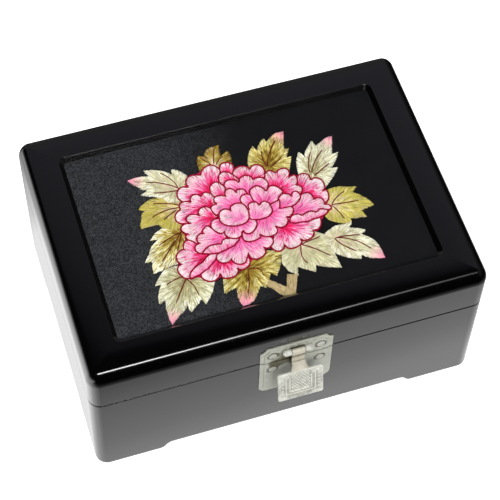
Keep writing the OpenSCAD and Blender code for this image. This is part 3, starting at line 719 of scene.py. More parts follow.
@dataclass
class LidShell:
    """The lid's top frame and its four side boards.

    The crown is part of an ellipse, and a soft shoulder between two insets leads from it to the flat top. The
    lip's curve runs from there down to the silk, each point so far outside the window and below the top.
    """

    plan: Plan = PLAN
    crown_steps: int = 18
    crown: tuple[float, float] = (6.53, 8.05)
    crown_turn: float = 85.36
    shoulder: tuple[float, float] = (6.0, 15.6)
    shoulder_drop: float = 0.48
    shoulder_steps: int = 8
    tight_corner: float = 0.4
    lip_curve: Pairs = ((3.0, 0.0), (2.62, 0.0), (2.54, 0.02), (2.46, 0.07), (2.36, 0.15), (0.0, 2.0))
    seam_round: float = 0.45

    def top_frame(self) -> bpy.types.Object:
        """Builds the top frame: rounded crown, soft shoulder, flat top, sloping window lip and rebate."""
        p = self.plan
        half_l, half_d = p.length / 2, p.depth / 2
        rings = []

        def outer(inset: float, z: float) -> None:
            """Adds a ring that follows the outer outline."""
            rings.append(p.ring(half_l - inset, half_d - inset, max(p.corner - inset, self.tight_corner), z))

        def inner(out: float, z: float, radius: float | None = None) -> None:
            """Adds a ring that follows the window."""
            wide, deep = p.window
            corner = p.window_corner + out if radius is None else radius
            rings.append(p.ring(wide + out, deep + out, corner, z))

        for step in range(self.crown_steps + 1):
            turn = math.radians(self.crown_turn * step / self.crown_steps)
            outer(self.crown[0] * (1 - math.cos(turn)), p.lid_top + self.crown[1] * math.sin(turn))
        low, high = self.shoulder
        for step in range(1, self.shoulder_steps + 1):
            share = step / self.shoulder_steps
            outer(low + (high - low) * share, p.height - self.shoulder_drop * (1 - share) ** 2)
        for out, drop in self.lip_curve:
            inner(out, p.height - drop)
        inner(p.lap, p.silk, self.tight_corner)
        inner(p.lap, p.lid_top, self.tight_corner)
        obj = piece("lid_top", *closed_strip(rings))
        smooth(obj, 40)
        return obj

    def side_boards(self) -> list[bpy.types.Object]:
        """Copies the four side boards, with the edge at the seam softened."""
        rim = self.plan.seam + self.plan.seam_gap

        def on_rim(a: Vector, b: Vector) -> bool:
            """Whether an edge lies on the outer rim at the seam."""
            return all(abs(v.z - rim) < LEVEL and self.plan.edge_gap(v) < ON_FACE for v in (a, b))

        boards = []
        for side in ("front", "back", "left", "right"):
            obj = merged_copy(f"lid_{side}_rail", f"lid_{side}_board")
            round_edges(obj, self.seam_round, 3, on_rim)
            boards.append(obj)
        return boards

    def build(self) -> None:
        """Builds and dresses the lid's wood."""
        dress(self.top_frame(), LACQUER, "lid", ["lid_top_frame"])
        for obj in self.side_boards():
            dress(obj, LACQUER, "lid", [obj.name.replace("_board", "_rail")])
        repaint("panel_board", FIBRE_BOARD)


@dataclass
class BaseShell:
    """The base's four walls with their bracket feet, and its floor."""

    plan: Plan = PLAN
    seam_round: float = 0.45
    foot_margin: float = 0.5

    def walls(self) -> list[bpy.types.Object]:
        """Copies the four walls, with the seam's rim and the feet's edges softened."""
        p = self.plan

        def picked(a: Vector, b: Vector) -> bool:
            """Whether an edge lies on the outer rim or round a foot's outer face."""
            if max(p.edge_gap(a), p.edge_gap(b)) > ON_FACE:
                return False
            on_rim = all(abs(v.z - p.seam) < LEVEL for v in (a, b))
            return on_rim or max(a.z, b.z) < p.foot + self.foot_margin

        walls = []
        for side in ("front", "back", "left", "right"):
            obj = merged_copy(f"base_{side}_wall", f"wall_{side}")
            round_edges(obj, self.seam_round, 3, picked)
            walls.append(obj)
        return walls

    def build(self) -> None:
        """Builds and dresses the base's wood."""
        for obj in self.walls():
            dress(obj, LACQUER, "base", [f"base_{obj.name.removeprefix('wall_')}_wall"])
        repaint("base_floor", FLOOR_BOARD)


# ---------------------------------------------------------------- clasp and hinges


@dataclass
class Clasp:
    """The clasp's plates, knuckles, pin, catch and screws, and the hasp with its patterned plate.

    A knuckle's curve gives its radius at each reach, and the plate's edge its depth at each inset. A fret
    line is its half width, its top and foot from the plate's top, and the length of its turned ends.
    """

    hinge: Colour = (CLASP_X, -76.697, 80.212)
    knuckle: Pairs = (
        (3.95, 1.2), (3.97, 1.6), (4.15, 1.74), (6.9, 1.74), (7.05, 1.62), (7.2, 1.74), (7.7, 1.66),
        (8.2, 1.3), (8.5, 0.75), (8.6, 0.2))
    face: Colour = (CLASP_X, -80.797, 66.612)
    face_tilt: float = -9.5
    face_size: tuple[float, float] = (26.0, 23.5)
    face_corner: float = 1.3
    face_depth: float = 1.4
    face_edge: Pairs = (
        (0.5, 0.0), (0.15, 0.12), (0.0, 0.45), (0.0, 1.1), (0.12, 1.45), (0.4, 1.66), (0.75, 1.7),
        (1.0, 1.64), (1.15, 1.5), (1.3, 1.4))
    neck: Colour = (CLASP_X, -76.897, 70.612)
    neck_tilt: float = -41.19
    neck_widths: Pairs = ((-0.8, 7.6), (-2.6, 7.9), (-4.4, 8.9), (-6.5, 10.6))
    bead: float = 0.52
    beads: int = 7
    weave: tuple[int, int] = (12, 6)
    weave_pitch: tuple[float, float] = (1.38, 1.78)
    bead_column: float = 10.3
    bead_margin: float = 2.9
    weave_top: float = -1.9
    weave_bead: float = 0.5
    fret: float = 0.4
    fret_bend: float = 0.5
    fret_sunk: float = 0.08
    fret_lines: tuple[tuple[float, ...], ...] = ((8.4, -3.6, -18.9, 2.0), (6.2, -5.4, -16.7, 0.0))
    steps: int = 28

    @staticmethod
    def placed(points: Iterable[Sequence[float]], at: Colour, tilt: float) -> list[Vector]:
        """Moves local points in millimetres to a place in the frame, tilted about X, in metres."""
        move = Matrix.Translation(Vector(at)) @ Matrix.Rotation(math.radians(tilt), 4, "X")
        return [move @ Vector(p) * MM for p in points]

    def plates(self) -> None:
        """Softens the edges of the stamped plates, catch and screws."""
        for node, name, finish, body, width in (
                ("clasp_lid_plate", "lid_plate", PLATE_NICKEL, "lid", 0.16),
                ("clasp_base_plate", "base_plate", PLATE_NICKEL, "base", 0.16),
                ("clasp_catch", "catch_hook", CLASP_NICKEL, "base", 0.25),
                ("clasp_lid_screws", "lid_plate_screws", SCREW_NICKEL, "lid", 0.08),
                ("clasp_base_screws", "base_plate_screws", SCREW_NICKEL, "base", 0.08),
                ("hasp_arm", "hasp_tongue", TONGUE_NICKEL, "hasp", 0.16)):
            obj = merged_copy(node, name)
            round_edges(obj, width, 2)
            dress(obj, finish, body, [node])
        repaint("clasp_pin", CLASP_NICKEL)

    def knuckles(self) -> None:
        """Builds the two full knuckles with their domed ends."""
        for side, name in ((-1, "left_knuckle"), (1, "right_knuckle")):
            rings = []
            for out, radius in self.knuckle:
                turns = (2 * math.pi * i / self.steps for i in range(self.steps))
                rings.append([(side * out, radius * math.cos(t), radius * math.sin(t)) for t in turns])
            obj = piece(name, *capped_strip([self.placed(ring, self.hinge, 0.0) for ring in rings]))
            face_outwards(obj)
            smooth(obj, 40)
            dress(obj, CLASP_NICKEL, "lid")

    def face_ring(self, inset: float, depth: float, steps: int = 6) -> list[Colour]:
        """A rounded outline of the square plate, from its middle at the top, at a depth towards the eye."""
        half_w, half_h = self.face_size[0] / 2 - inset, self.face_size[1] / 2 - inset
        radius = max(self.face_corner - inset, 0.15)
        ring = []
        for corner, (sx, sz) in enumerate(((1, 1), (-1, 1), (-1, -1), (1, -1))):
            for step in range(steps + 1):
                turn = math.radians(90 * (corner + step / steps))
                ring.append((sx * (half_w - radius) + radius * math.cos(turn), -depth,
                             sz * (half_h - radius) + radius * math.sin(turn) - self.face_size[1] / 2))
        return ring

    def hasp(self) -> None:
        """Builds the hasp's square plate with its raised rim, and the flared neck that carries it."""
        rings = [self.placed(self.face_ring(*edge), self.face, self.face_tilt) for edge in self.face_edge]
        plate = piece("hasp_face", *capped_strip(rings))
        rings = []
        for z, width in self.neck_widths:
            half = width / 2
            ring = ((-half, -0.6, z), (-half + 0.2, -0.4, z), (half - 0.2, -0.4, z), (half, -0.6, z),
                    (half, -1.05, z), (half - 0.3, -1.3, z), (-half + 0.3, -1.3, z), (-half, -1.05, z))
            rings.append(self.placed(ring, self.neck, self.neck_tilt))
        neck = piece("hasp_neck", *capped_strip(rings))
        for obj in (plate, neck):
            face_outwards(obj)
            smooth(obj, 50)
        dress(plate, FACE_NICKEL, "hasp", ["hasp_plate"])
        dress(neck, TONGUE_NICKEL, "hasp")

    def on_face(self, tree: Tree, geometry: Socket, obj: bpy.types.Object) -> None:
        """Ends a tree that was laid out flat by moving its result onto the square plate."""
        at = tree.value("Face place", "Vector", tuple(c * MM for c in self.face))
        moved = tree.out("GeometryNodeTransform", {}, {
            0: geometry, "Translation": at, "Rotation": (math.radians(self.face_tilt), 0.0, 0.0)})
        tree.finish(moved, STUD_NICKEL)
        tree.grow(obj)
        dress(obj, STUD_NICKEL, "hasp")

    def studs(self, name: str, places: Iterable[tuple[float, float]], radius: float, form: Colour) -> None:
        """Sets low rounded studs on the square plate.

        Args:
            name: the piece's name.
            places: their places from the middle of the plate's top, in millimetres.
            radius: their radius in millimetres.
            form: how they are stretched.
        """
        obj = piece(name, [(x * MM, -self.face_depth * MM, z * MM) for x, z in places])
        tree = Tree("stud_maker")
        size = tree.value("Stud radius", "Float", radius * MM)
        stud = tree.out("GeometryNodeMeshUVSphere", {}, {0: 10, 1: 6, 2: size})
        stud = tree.out("GeometryNodeTransform", {}, {0: stud, "Scale": form})
        stud = tree.out("GeometryNodeSetShadeSmooth", {}, {0: stud})
        laid = tree.out("GeometryNodeInstanceOnPoints", {}, {0: tree.entry.outputs[0], 2: stud})
        self.on_face(tree, laid, obj)

    def frets(self) -> None:
        """Lays the two nested fret ridges that frame the weave, their ends turned inwards."""
        points, edges = [], []
        for side, top, low, hook in self.fret_lines:
            line = [(-side + hook, top), (-side, top), (-side, low),
                    (side, low), (side, top), (side - hook, top)]
            line = line if hook else line[1:-1]
            edges += [(len(points) + i, len(points) + i + 1) for i in range(len(line) - 1)]
            points += [(x * MM, (self.fret_sunk - self.face_depth) * MM, z * MM) for x, z in line]
        obj = piece("hasp_frets", points, (), edges)
        tree = Tree("fret_maker")
        radius = tree.value("Ridge radius", "Float", self.fret * MM)
        bend = tree.value("Bend radius", "Float", self.fret_bend * MM)
        curve = tree.out("GeometryNodeMeshToCurve", {}, {0: tree.entry.outputs[0]})
        curve = tree.out("GeometryNodeFilletCurve", {}, {0: curve, "Radius": bend})
        ring = tree.out("GeometryNodeCurvePrimitiveCircle", {}, {0: 8, 4: radius})
        tube = tree.out("GeometryNodeCurveToMesh", {}, {0: curve, 1: ring, "Fill Caps": True})
        self.on_face(tree, tree.out("GeometryNodeSetShadeSmooth", {}, {0: tube}), obj)

    def pattern(self) -> None:
        """Sets the bead columns and the basket weave on the square plate, and lays the frets."""
        span = self.face_size[1] - 2 * self.bead_margin
        columns = [(side * self.bead_column, -self.bead_margin - span * i / (self.beads - 1))
                   for side in (-1, 1) for i in range(self.beads)]
        self.studs("hasp_beads", columns, self.bead, (1.0, 0.6, 1.0))
        rows, columns = self.weave
        high, wide = self.weave_pitch
        middle = (columns - 1) / 2
        woven = [((column - middle + (row % 2 - 0.5) / 2) * wide, self.weave_top - row * high)
                 for row in range(rows) for column in range(columns)]
        self.studs("hasp_weave", woven, self.weave_bead, (1.5, 0.6, 0.92))
        self.frets()

    def build(self) -> None:
        """Builds and dresses the clasp."""
        self.plates()
        self.knuckles()
        self.hasp()
        self.pattern()


@dataclass
class Hinges:
    """The two butt hinges at the back."""

    softened: float = 0.12

    def build(self) -> None:
        """Softens and dresses the leaves, pins and screws."""
        for node, name, body in (
                ("hinge_base_leaves", "base_leaves", "base"),
                ("hinge_lid_leaves", "lid_leaves", "lid"),
                ("hinge_base_screws", "base_leaf_screws", "base"),
                ("hinge_lid_screws", "lid_leaf_screws", "lid"),
                ("hinge_pins", "leaf_pins", "base")):
            obj = merged_copy(node, name)
            round_edges(obj, self.softened, 2)
            dress(obj, HINGE_STEEL, body, [node])


# ---------------------------------------------------------------- lining


@dataclass
class Lining:
    """The velvet-covered liners, dividers and mirror surround, and the mirror."""

    fold: float = 0.9
    floor_fold: float = 0.3
    divider_fold: float = 1.3

    def build(self) -> None:
        """Rounds the covered boards' edges as folded cloth does, and dresses them."""
        for node, name, body, width in (
                ("wall_liner", "wall_velvet", "base", self.fold),
                ("floor_liner", "floor_velvet", "base", self.floor_fold),
                ("lid_liner", "lid_velvet", "lid", self.fold / 2),
                ("mirror_surround", "mirror_velvet", "lid", self.fold),
                ("long_divider", "divider_long", "base", self.divider_fold),
                ("cross_divider", "divider_cross", "base", self.divider_fold),
                ("short_divider", "divider_short", "base", self.divider_fold)):
            obj = merged_copy(node, name)
            round_edges(obj, width, 4)
            dress(obj, VELVET, body, [node])
        repaint("lid_mirror", MIRROR)


@dataclass
class RingRolls:
    """Five soft velvet rolls that grip rings between them.

    A roll starts shy of its place, swells under pressure by at most its cap, and rests on the floor liner.
    """

    count: int = 5
    width: float = 12.4
    pitch: float = 13.2
    height: float = 25.98
    left: float = -101.0
    front: float = -63.147
    length: float = 139.0
    rest: float = 13.2
    shy: float = 0.9
    voxel: float = 2.6
    pressure: float = 4.0
    frames: int = 20
    cap: float = 0.95
    pucker: float = 0.25
    end_shares: tuple[float, ...] = (0.0, 0.25, 0.6, 1.0)
    end_length: float = 6.0
    end_inset: float = 3.0
    arc_steps: int = 12

    def cover(self) -> bpy.types.Object:
        """Makes one roll a little smaller than its place: a rounded bar, remeshed evenly."""
        half_w, half_l = self.width / 2 - self.shy, self.length / 2 - self.shy
        low, high = self.rest, self.rest + self.height - self.shy
        rings = []
        for share in self.end_shares:
            y = self.front + self.length / 2 - half_l + self.end_length * share
            inset = self.end_inset * (1 - share) ** 2
            rings.append((y, inset))
        rings += [(2 * self.front + self.length - y, inset) for y, inset in reversed(rings)]
        loops = []
        for y, inset in rings:
            loop = []
            for step in range(self.arc_steps + 1):
                turn = math.radians(180 * step / self.arc_steps)
                loop.append(Vector(((half_w - inset) * math.cos(turn), y,
                                    high - half_w + (half_w - inset) * math.sin(turn))) * MM)
            loop += [Vector((-half_w + inset, y, low)) * MM, Vector((half_w - inset, y, low)) * MM]
            loops.append(loop)
        obj = piece("ring_roll_pads", *capped_strip(loops))
        face_outwards(obj)
        even = obj.modifiers.new("even", "REMESH")
        even.mode = "VOXEL"
        even.voxel_size = self.voxel * MM
        settle(obj)
        return obj

    def swell(self, obj: bpy.types.Object) -> None:
        """Blows the cover up as cloth, and holds every point near where it was and inside its place."""
        start = [v.co.copy() for v in obj.data.vertices]
        cloth = obj.modifiers.new("cover", "CLOTH")
        cloth.settings.use_pressure = True
        cloth.settings.uniform_pressure_force = self.pressure
        cloth.settings.effector_weights.gravity = 0.0
        cloth.collision_settings.use_collision = False
        for frame_number in range(1, self.frames + 1):
            bpy.context.scene.frame_set(frame_number)
        settle(obj)
        bpy.context.scene.frame_set(1)
        half = self.width / 2 * MM
        for vertex, was in zip(obj.data.vertices, start):
            step = vertex.co - was
            if step.length > self.cap * MM:
                vertex.co = was + step.normalized() * self.cap * MM
            x, y, z = vertex.co
            waves = math.sin(y / MM * 0.55) * math.sin(y / MM * 0.13 + 1.0)
            pucker = self.pucker * MM * waves * (x / half) ** 2
            vertex.co = (min(max(x, -half), half), y,
                         min(max(z - pucker, self.rest * MM), (self.rest + self.height) * MM))
        soft = obj.modifiers.new("soft", "SUBSURF")
        soft.levels = soft.render_levels = 1
        settle(obj)

    def build(self) -> None:
        obj = self.cover()
        self.swell(obj)
        points = [v.co.copy() for v in obj.data.vertices]
        faces = [list(p.vertices) for p in obj.data.polygons]
        bpy.data.objects.remove(obj)
        all_points, all_faces = [], []
        for number in range(self.count):
            x = (self.left + self.width / 2 + number * self.pitch) * MM
            all_faces += [[i + len(all_points) for i in face] for face in faces]
            all_points += [p + Vector((x, 0.0, 0.0)) for p in points]
        rolls = piece("ring_roll_pads", all_points, all_faces)
        smooth(rolls, 70)
        dress(rolls, VELVET, "base", ["ring_rolls"])


# ---------------------------------------------------------------- embroidery

UNIT = 0.1796


class Floss(Enum):
    """Thread colours of the spray, as they are seen."""

    WINE = (208, 8, 66)
    CERISE = (230, 20, 96)
    ROSE = (238, 70, 142)
    PINK = (241, 114, 180)
    CARNATION = (242, 150, 196)
    SHELL = (243, 198, 212)
    BLUSH = (241, 220, 225)
    CHALK = (236, 226, 225)
    UMBER = (120, 90, 18)
    BRONZE = (162, 136, 45)
    BRASS = (190, 172, 78)
    LICHEN = (185, 180, 74)
    OCHRE = (205, 190, 100)
    CITRON = (226, 212, 135)
    STRAW = (236, 228, 165)
    DRAB = (156, 142, 98)
    SAGE = (188, 185, 138)
    LINEN = (206, 204, 162)
    BUFF = (224, 204, 178)
    CREAM = (230, 228, 198)
    PEARL = (242, 242, 220)
    BARK = (172, 152, 106)
    FAWN = (194, 174, 130)


class Tint(Enum):
    """The flosses that a shape blends through, evenly from its root to its edge."""

    OUTER = (Floss.WINE, Floss.CERISE, Floss.ROSE, Floss.CARNATION, Floss.SHELL, Floss.BLUSH, Floss.CHALK)
    INNER = (Floss.ROSE, Floss.PINK, Floss.CARNATION, Floss.SHELL, Floss.BLUSH)
    HEART = (Floss.PINK, Floss.CARNATION, Floss.SHELL, Floss.BLUSH)
    LIP = (Floss.ROSE, Floss.CARNATION, Floss.SHELL, Floss.BLUSH)
    DEEP = (Floss.WINE, Floss.CERISE)
    IVORY = (Floss.BUFF, Floss.LINEN, Floss.SAGE, Floss.CREAM, Floss.PEARL)
    OLIVE = (Floss.BUFF, Floss.CITRON, Floss.BRASS, Floss.LICHEN, Floss.OCHRE)
    BRONZE = (Floss.UMBER, Floss.BRONZE, Floss.OCHRE, Floss.STRAW, Floss.PEARL)
    FERN = (Floss.DRAB, Floss.SAGE, Floss.LINEN, Floss.PEARL)
    SAGE = (Floss.BUFF, Floss.LINEN, Floss.SAGE, Floss.LINEN, Floss.CREAM)
    CREAM = (Floss.BUFF, Floss.SAGE, Floss.LINEN, Floss.CREAM, Floss.PEARL)
    GILT = (Floss.BUFF, Floss.CITRON, Floss.LICHEN, Floss.OCHRE)
    AMBER = (Floss.UMBER, Floss.BRONZE, Floss.OCHRE, Floss.STRAW)
    MOSS = (Floss.BUFF, Floss.BRASS, Floss.BRONZE, Floss.UMBER)
    MINT = (Floss.DRAB, Floss.LINEN, Floss.CREAM, Floss.PEARL)
    HUSK = (Floss.UMBER, Floss.BRONZE, Floss.BRASS, Floss.STRAW)
    TWIG = (Floss.BARK, Floss.FAWN)

    def colours(self, shares: np.ndarray) -> np.ndarray:
        """The linear colours at an array of shares, one row each."""
        places = np.linspace(0, 1, len(self.value))
        channels = np.array([linear(*floss.value) for floss in self.value])
        return np.stack([np.interp(shares, places, channels[:, i]) for i in range(3)], axis=-1)


def spots(text: str) -> list[np.ndarray]:
    """Reads groups of spots, split by bars.

    Args:
        text: spots as x,y in thousandths of the spray's length, from the middle of the window.

    Returns:
        One array of places in millimetres for each group.
    """
    return [np.array([spot.split(",") for spot in group.split()], float).reshape(-1, 2) * UNIT
            for group in text.split("|")]


def curved(points: np.ndarray, steps: int = 6) -> np.ndarray:
    """A smooth line through some points, without its first point."""
    ends = np.vstack([2 * points[0] - points[1], points, 2 * points[-1] - points[-2]])
    t = (np.arange(1, steps + 1) / steps)[:, None]
    spans = [0.5 * (2 * b + (c - a) * t + (2 * a - 5 * b + 4 * c - d) * t ** 2
                    + (3 * b - a - 3 * c + d) * t ** 3)
             for a, b, c, d in zip(ends, ends[1:], ends[2:], ends[3:])]
    return np.concatenate(spans)


@dataclass(frozen=True, eq=False)
class Area:
    """One satin-stitched area, in millimetres from the middle of the window.

    Its spread says how far its stitches stray in their share of the tint and in tone.
    """

    outline: np.ndarray
    base: np.ndarray
    tint: Tint
    blush: np.ndarray | None = None
    mottle: float = 0.03
    spread: tuple[float, float] = (0.09, 0.095)

    def covers(self, x: np.ndarray, y: np.ndarray) -> np.ndarray:
        """Says of each place whether the area covers it."""
        inside = np.zeros(x.shape, bool)
        for (x0, y0), (x1, y1) in zip(self.outline, np.roll(self.outline, -1, axis=0)):
            if y0 != y1:
                inside ^= ((y0 > y) != (y1 > y)) & (x < (x1 - x0) * (y - y0) / (y1 - y0) + x0)
        return inside


@dataclass(frozen=True)
class Petal:
    """A petal: the lobes of its edge split by bars, its hidden back, and the root its stitches fan from."""

    name: str
    tint: Tint
    edge: str
    back: str
    root: str

    def area(self) -> Area:
        """The petal as a stitched area."""
        lobes = spots(self.edge)
        line = lobes[0][:1]
        for lobe in lobes:
            from_last = lobe if lobe is lobes[0] else np.vstack([line[-1:], lobe])
            line = np.vstack([line, curved(from_last)])
        return Area(np.vstack([line, spots(self.back)[0]]), spots(self.root)[0][0], self.tint)


@dataclass(frozen=True)
class Leaf:
    """A toothed leaf: its outline, its veins split by bars, and its blushing tip if it has one."""

    name: str
    tint: Tint
    blush: str
    outline: str
    veins: str

    def area(self) -> Area:
        """The leaf as a stitched area, fanned out from where its veins meet."""
        base = np.mean([vein[0] for vein in spots(self.veins)], axis=0)
        blush = spots(self.blush)[0][0] if self.blush else None
        return Area(spots(self.outline)[0], base, self.tint, blush, mottle=0.11, spread=(0.17, 0.12))


PETALS = (
    Petal("far_right", Tint.OUTER,
         "175,46 176,61 185,69 196,71 208,67 215,58 216,41 | 227,45 240,40 249,28 250,12 247,0 238,-8 | "
         "249,-9 251,-24 247,-38 239,-48 229,-51",
          "185,-43 151,-9", "158,-7"),
    Petal("top_right", Tint.OUTER,
         "83,93 90,107 100,111 111,107 119,98 | 129,104 141,108 155,104 161,93 158,79 152,68 | 162,73 "
         "173,73 177,63 174,46 166,35 | 174,33 180,23 179,13 171,3 162,1",
          "112,-20 67,32", "100,22"),
    Petal("top_middle", Tint.OUTER,
         "-11,129 -6,140 1,147 15,153 29,151 42,144 47,134 | 55,141 66,145 78,141 87,130 89,114 83,93",
          "60,49 -5,69 -22,105", "20,77"),
    Petal("top_left", Tint.OUTER,
         "-44,163 -51,175 -65,184 -82,182 -97,171 -105,157 | -120,162 -139,163 -154,151 -157,137 -154,124 "
         "| -171,130 -186,124 -195,109 -195,92 -185,76",
          "-137,55 -86,55 -44,89 -32,147", "-90,83"),
    Petal("top_small", Tint.OUTER, "-42,164 -34,177 -21,180 -7,175 1,164 1,152 -7,138 -16,127",
          "-44,131", "-25,130"),
    Petal("top_fold", Tint.OUTER, "-58,105 -57,122 -53,136 -46,145 -33,148 -21,142 -11,131 -2,119",
          "7,96 -22,74 -58,85", "-10,94"),
    Petal("low_left", Tint.OUTER,
         "-188,-82 -199,-67 -210,-60 -220,-62 -230,-77 -230,-90 -217,-93 | -237,-88 -251,-94 -260,-106 "
         "-261,-121 -254,-135 -242,-137 | -258,-138 -268,-148 -268,-164 -261,-179 -253,-188 -242,-190",
          "-203,-164 -149,-129 -163,-95", "-171,-130"),
    Petal("left", Tint.OUTER, "-90,64 -94,79 -105,89 -117,90 -127,81 | -135,90 -147,93 -157,87 -162,78 "
                              "-162,68 | -173,75 -189,76 -199,69 -201,51 | -213,46 -223,34 -224,17 -216,5 "
                              "-202,0 -185,-2",
          "-137,-6 -94,19", "-108,35"),
    Petal("small_left", Tint.OUTER, "-89,68 -94,82 -93,97 -88,110 -79,116 -67,118 -58,112 -51,101",
          "-44,89 -55,53", "-62,59"),
    Petal("mid_left", Tint.OUTER,
         "-100,-2 -108,14 -112,30 -124,41 -139,40 -150,30 -152,18 -147,11 | -164,23 -181,25 -193,16 -193,4 "
         "-183,-6 | -199,-2 -213,-7 -219,-19 -212,-33 -197,-43 | -207,-40 -213,-48 -209,-59 -198,-68 "
         "-188,-81",
          "-142,-64 -104,-23", "-111,-6"),
    Petal("mid_top", Tint.INNER, "-46,82 -47,96 -44,106 -35,113 -23,113 -9,108 0,97 | 6,109 19,115 33,113 "
                                 "43,104 45,93 | 57,97 71,94 81,84 86,70 82,57 72,46",
          "36,34 -11,48", "5,39"),
    Petal("low_right", Tint.OUTER,
         "29,-146 23,-156 28,-168 39,-177 53,-175 62,-167 65,-158 | 69,-172 80,-179 93,-179 108,-175 "
         "118,-164 115,-151 | 124,-162 137,-164 152,-159 162,-149 163,-138 156,-130 | 166,-138 178,-138 "
         "190,-128 197,-113 200,-95",
          "132,-65 61,-88", "80,-98"),
    Petal("foot", Tint.OUTER, "-204,-184 -208,-192 -205,-204 -193,-216 -180,-220 -167,-217 -156,-209 "
                              "-150,-197 | -150,-211 -142,-221 -128,-224 -114,-223 -102,-216 -96,-204 "
                              "-99,-192 | -93,-202 -84,-207 -70,-204 -58,-196 -53,-184 -53,-169",
          "-83,-142 -151,-136", "-128,-143"),
    Petal("right_wing", Tint.INNER,
         "169,-3 181,0 195,-4 201,-15 202,-31 | 212,-28 224,-32 229,-44 228,-58 | 237,-61 243,-69 241,-78 "
         "233,-80",
          "179,-79 118,-68 130,-33", "131,-60"),
    Petal("lip_foot", Tint.LIP, "-242,-190 -237,-176 -225,-164 -210,-155 -200,-150 | -188,-146 -178,-137 "
                                "-167,-130 -156,-128 -137,-131",
          "-143,-142 -153,-153 -170,-166 -183,-175 -199,-182 -211,-188 -225,-190 -237,-194", "-172,-224"),
    Petal("belly", Tint.INNER, "-136,-132 -143,-138 -146,-148 -142,-161 -131,-169 -117,-170 -107,-165 "
                               "-104,-160 | -103,-171 -95,-182 -82,-188 -67,-185 -58,-172 -49,-158 | "
                               "-48,-173 -41,-181 -28,-185 -13,-181 -1,-173 3,-161 0,-147 | 7,-156 18,-156 "
                               "29,-149 36,-138 35,-126",
          "11,-103 -58,-82 -106,-113", "-57,-98"),
    Petal("cheek", Tint.INNER, "-129,-42 -135,-31 -144,-29 -155,-37 -160,-46 -155,-55 | -164,-50 -176,-53 "
                               "-183,-65 -183,-78 -175,-83 | -186,-82 -196,-90 -198,-103 -192,-113 "
                               "-182,-118",
          "-143,-109 -96,-101 -97,-63", "-101,-88"),
    Petal("lip_left", Tint.LIP, "-183,-118 -166,-104 -151,-98 -134,-99 -116,-102 | -112,-93 -102,-88 "
                                "-89,-90 -73,-95 -58,-97",
          "-66,-108 -83,-119 -105,-125 -124,-129 -137,-131 -160,-127", "-127,-202"),
    Petal("lip_right", Tint.LIP, "106,-83 114,-71 127,-66 140,-69 149,-76 | 162,-70 176,-69 188,-73 "
                                 "196,-77 | 205,-71 216,-72 227,-77 232,-83",
          "220,-92 204,-97 188,-99 175,-98 162,-102 134,-98 117,-96 107,-90", "155,-170"),
    Petal("inner_right", Tint.INNER,
         "-48,-93 -49,-107 -42,-116 -32,-120 -18,-120 -6,-118 4,-112 3,-100 | 9,-109 19,-117 33,-120 "
         "48,-118 58,-110 60,-99 56,-86 | 64,-95 74,-99 88,-97 99,-86 103,-73 97,-59 | 105,-69 116,-66 "
         "127,-55 130,-42 123,-34 111,-33 101,-25 | 102,-16 98,-5 90,6 75,9 58,3",
          "30,-3 -22,-48", "34,-31"),
    Petal("inner_fold", Tint.INNER,
         "99,-9 99,1 104,10 116,17 127,14 136,8 139,-1 | 146,12 157,14 165,4 165,-10 156,-22 143,-30 "
         "129,-35 116,-35",
          "91,-33", "95,-31"),
    Petal("inner_left", Tint.INNER,
         "-91,3 -101,1 -107,10 -111,25 -109,34 -98,39 -88,38 | -93,48 -92,59 -84,66 -71,66 -60,62 -55,56 | "
         "-54,69 -46,81 -34,82 -24,76 -20,62 | -15,71 -6,71 6,67 11,54",
          "19,23 -21,-3 -60,-6", "-29,11"),
    Petal("inner_back", Tint.INNER, "-15,22 -15,36 -6,46 7,48 20,41",
          "51,21 42,-7 -7,0", "32,-8"),
    Petal("inner_top", Tint.INNER,
         "20,39 21,55 31,64 43,68 55,64 64,55 71,40 | 78,49 90,55 102,51 112,41 119,24 110,14 99,6 95,-2",
          "60,-12 24,-1", "44,-11"),
    Petal("chin", Tint.INNER, "-99,-13 -110,-11 -123,-19 -129,-35 -123,-52 -112,-65 -102,-67 -95,-62 | "
                              "-97,-74 -88,-88 -73,-96 -58,-96 -48,-88 -42,-77 | -35,-88 -24,-92 -11,-87 "
                              "1,-76 8,-63 6,-50 -6,-42",
          "-54,-8", "-52,-20"),
    Petal("heart_right", Tint.HEART,
         "1,-6 1,5 8,13 21,14 31,8 34,-3 | 43,5 54,6 64,-2 67,-14 67,-33 58,-45 44,-51 28,-53 12,-51 "
         "-5,-45",
          "-10,-29", "7,-46"),
    Petal("heart_left", Tint.HEART,
         "-55,1 -60,9 -71,14 -84,12 -93,1 -96,-12 -97,-24 -91,-36 -80,-46 -66,-52 -51,-55 -35,-54 -22,-51 "
         "-11,-41 -6,-28 -4,-13 -6,3 -11,15 -21,22 -35,24 -49,19 -54,10 -55,1",
          "", "-35,-37"),
)

GROUND = Area(spots("-43,166 -88,176 -139,156 -183,115 -186,63 -214,33 -209,-14 -221,-77 -250,-113 "
                    "-258,-162 -235,-187 -179,-208 -119,-215 -69,-197 "
                    "15,-149 97,-171 148,-152 185,-119 231,-79 242,-29 238,19 205,56 168,63 147,97 102,99 "
                    "74,135 6,144 -20,167")[0],
              np.array((-4.0, -6.0)), Tint.DEEP)

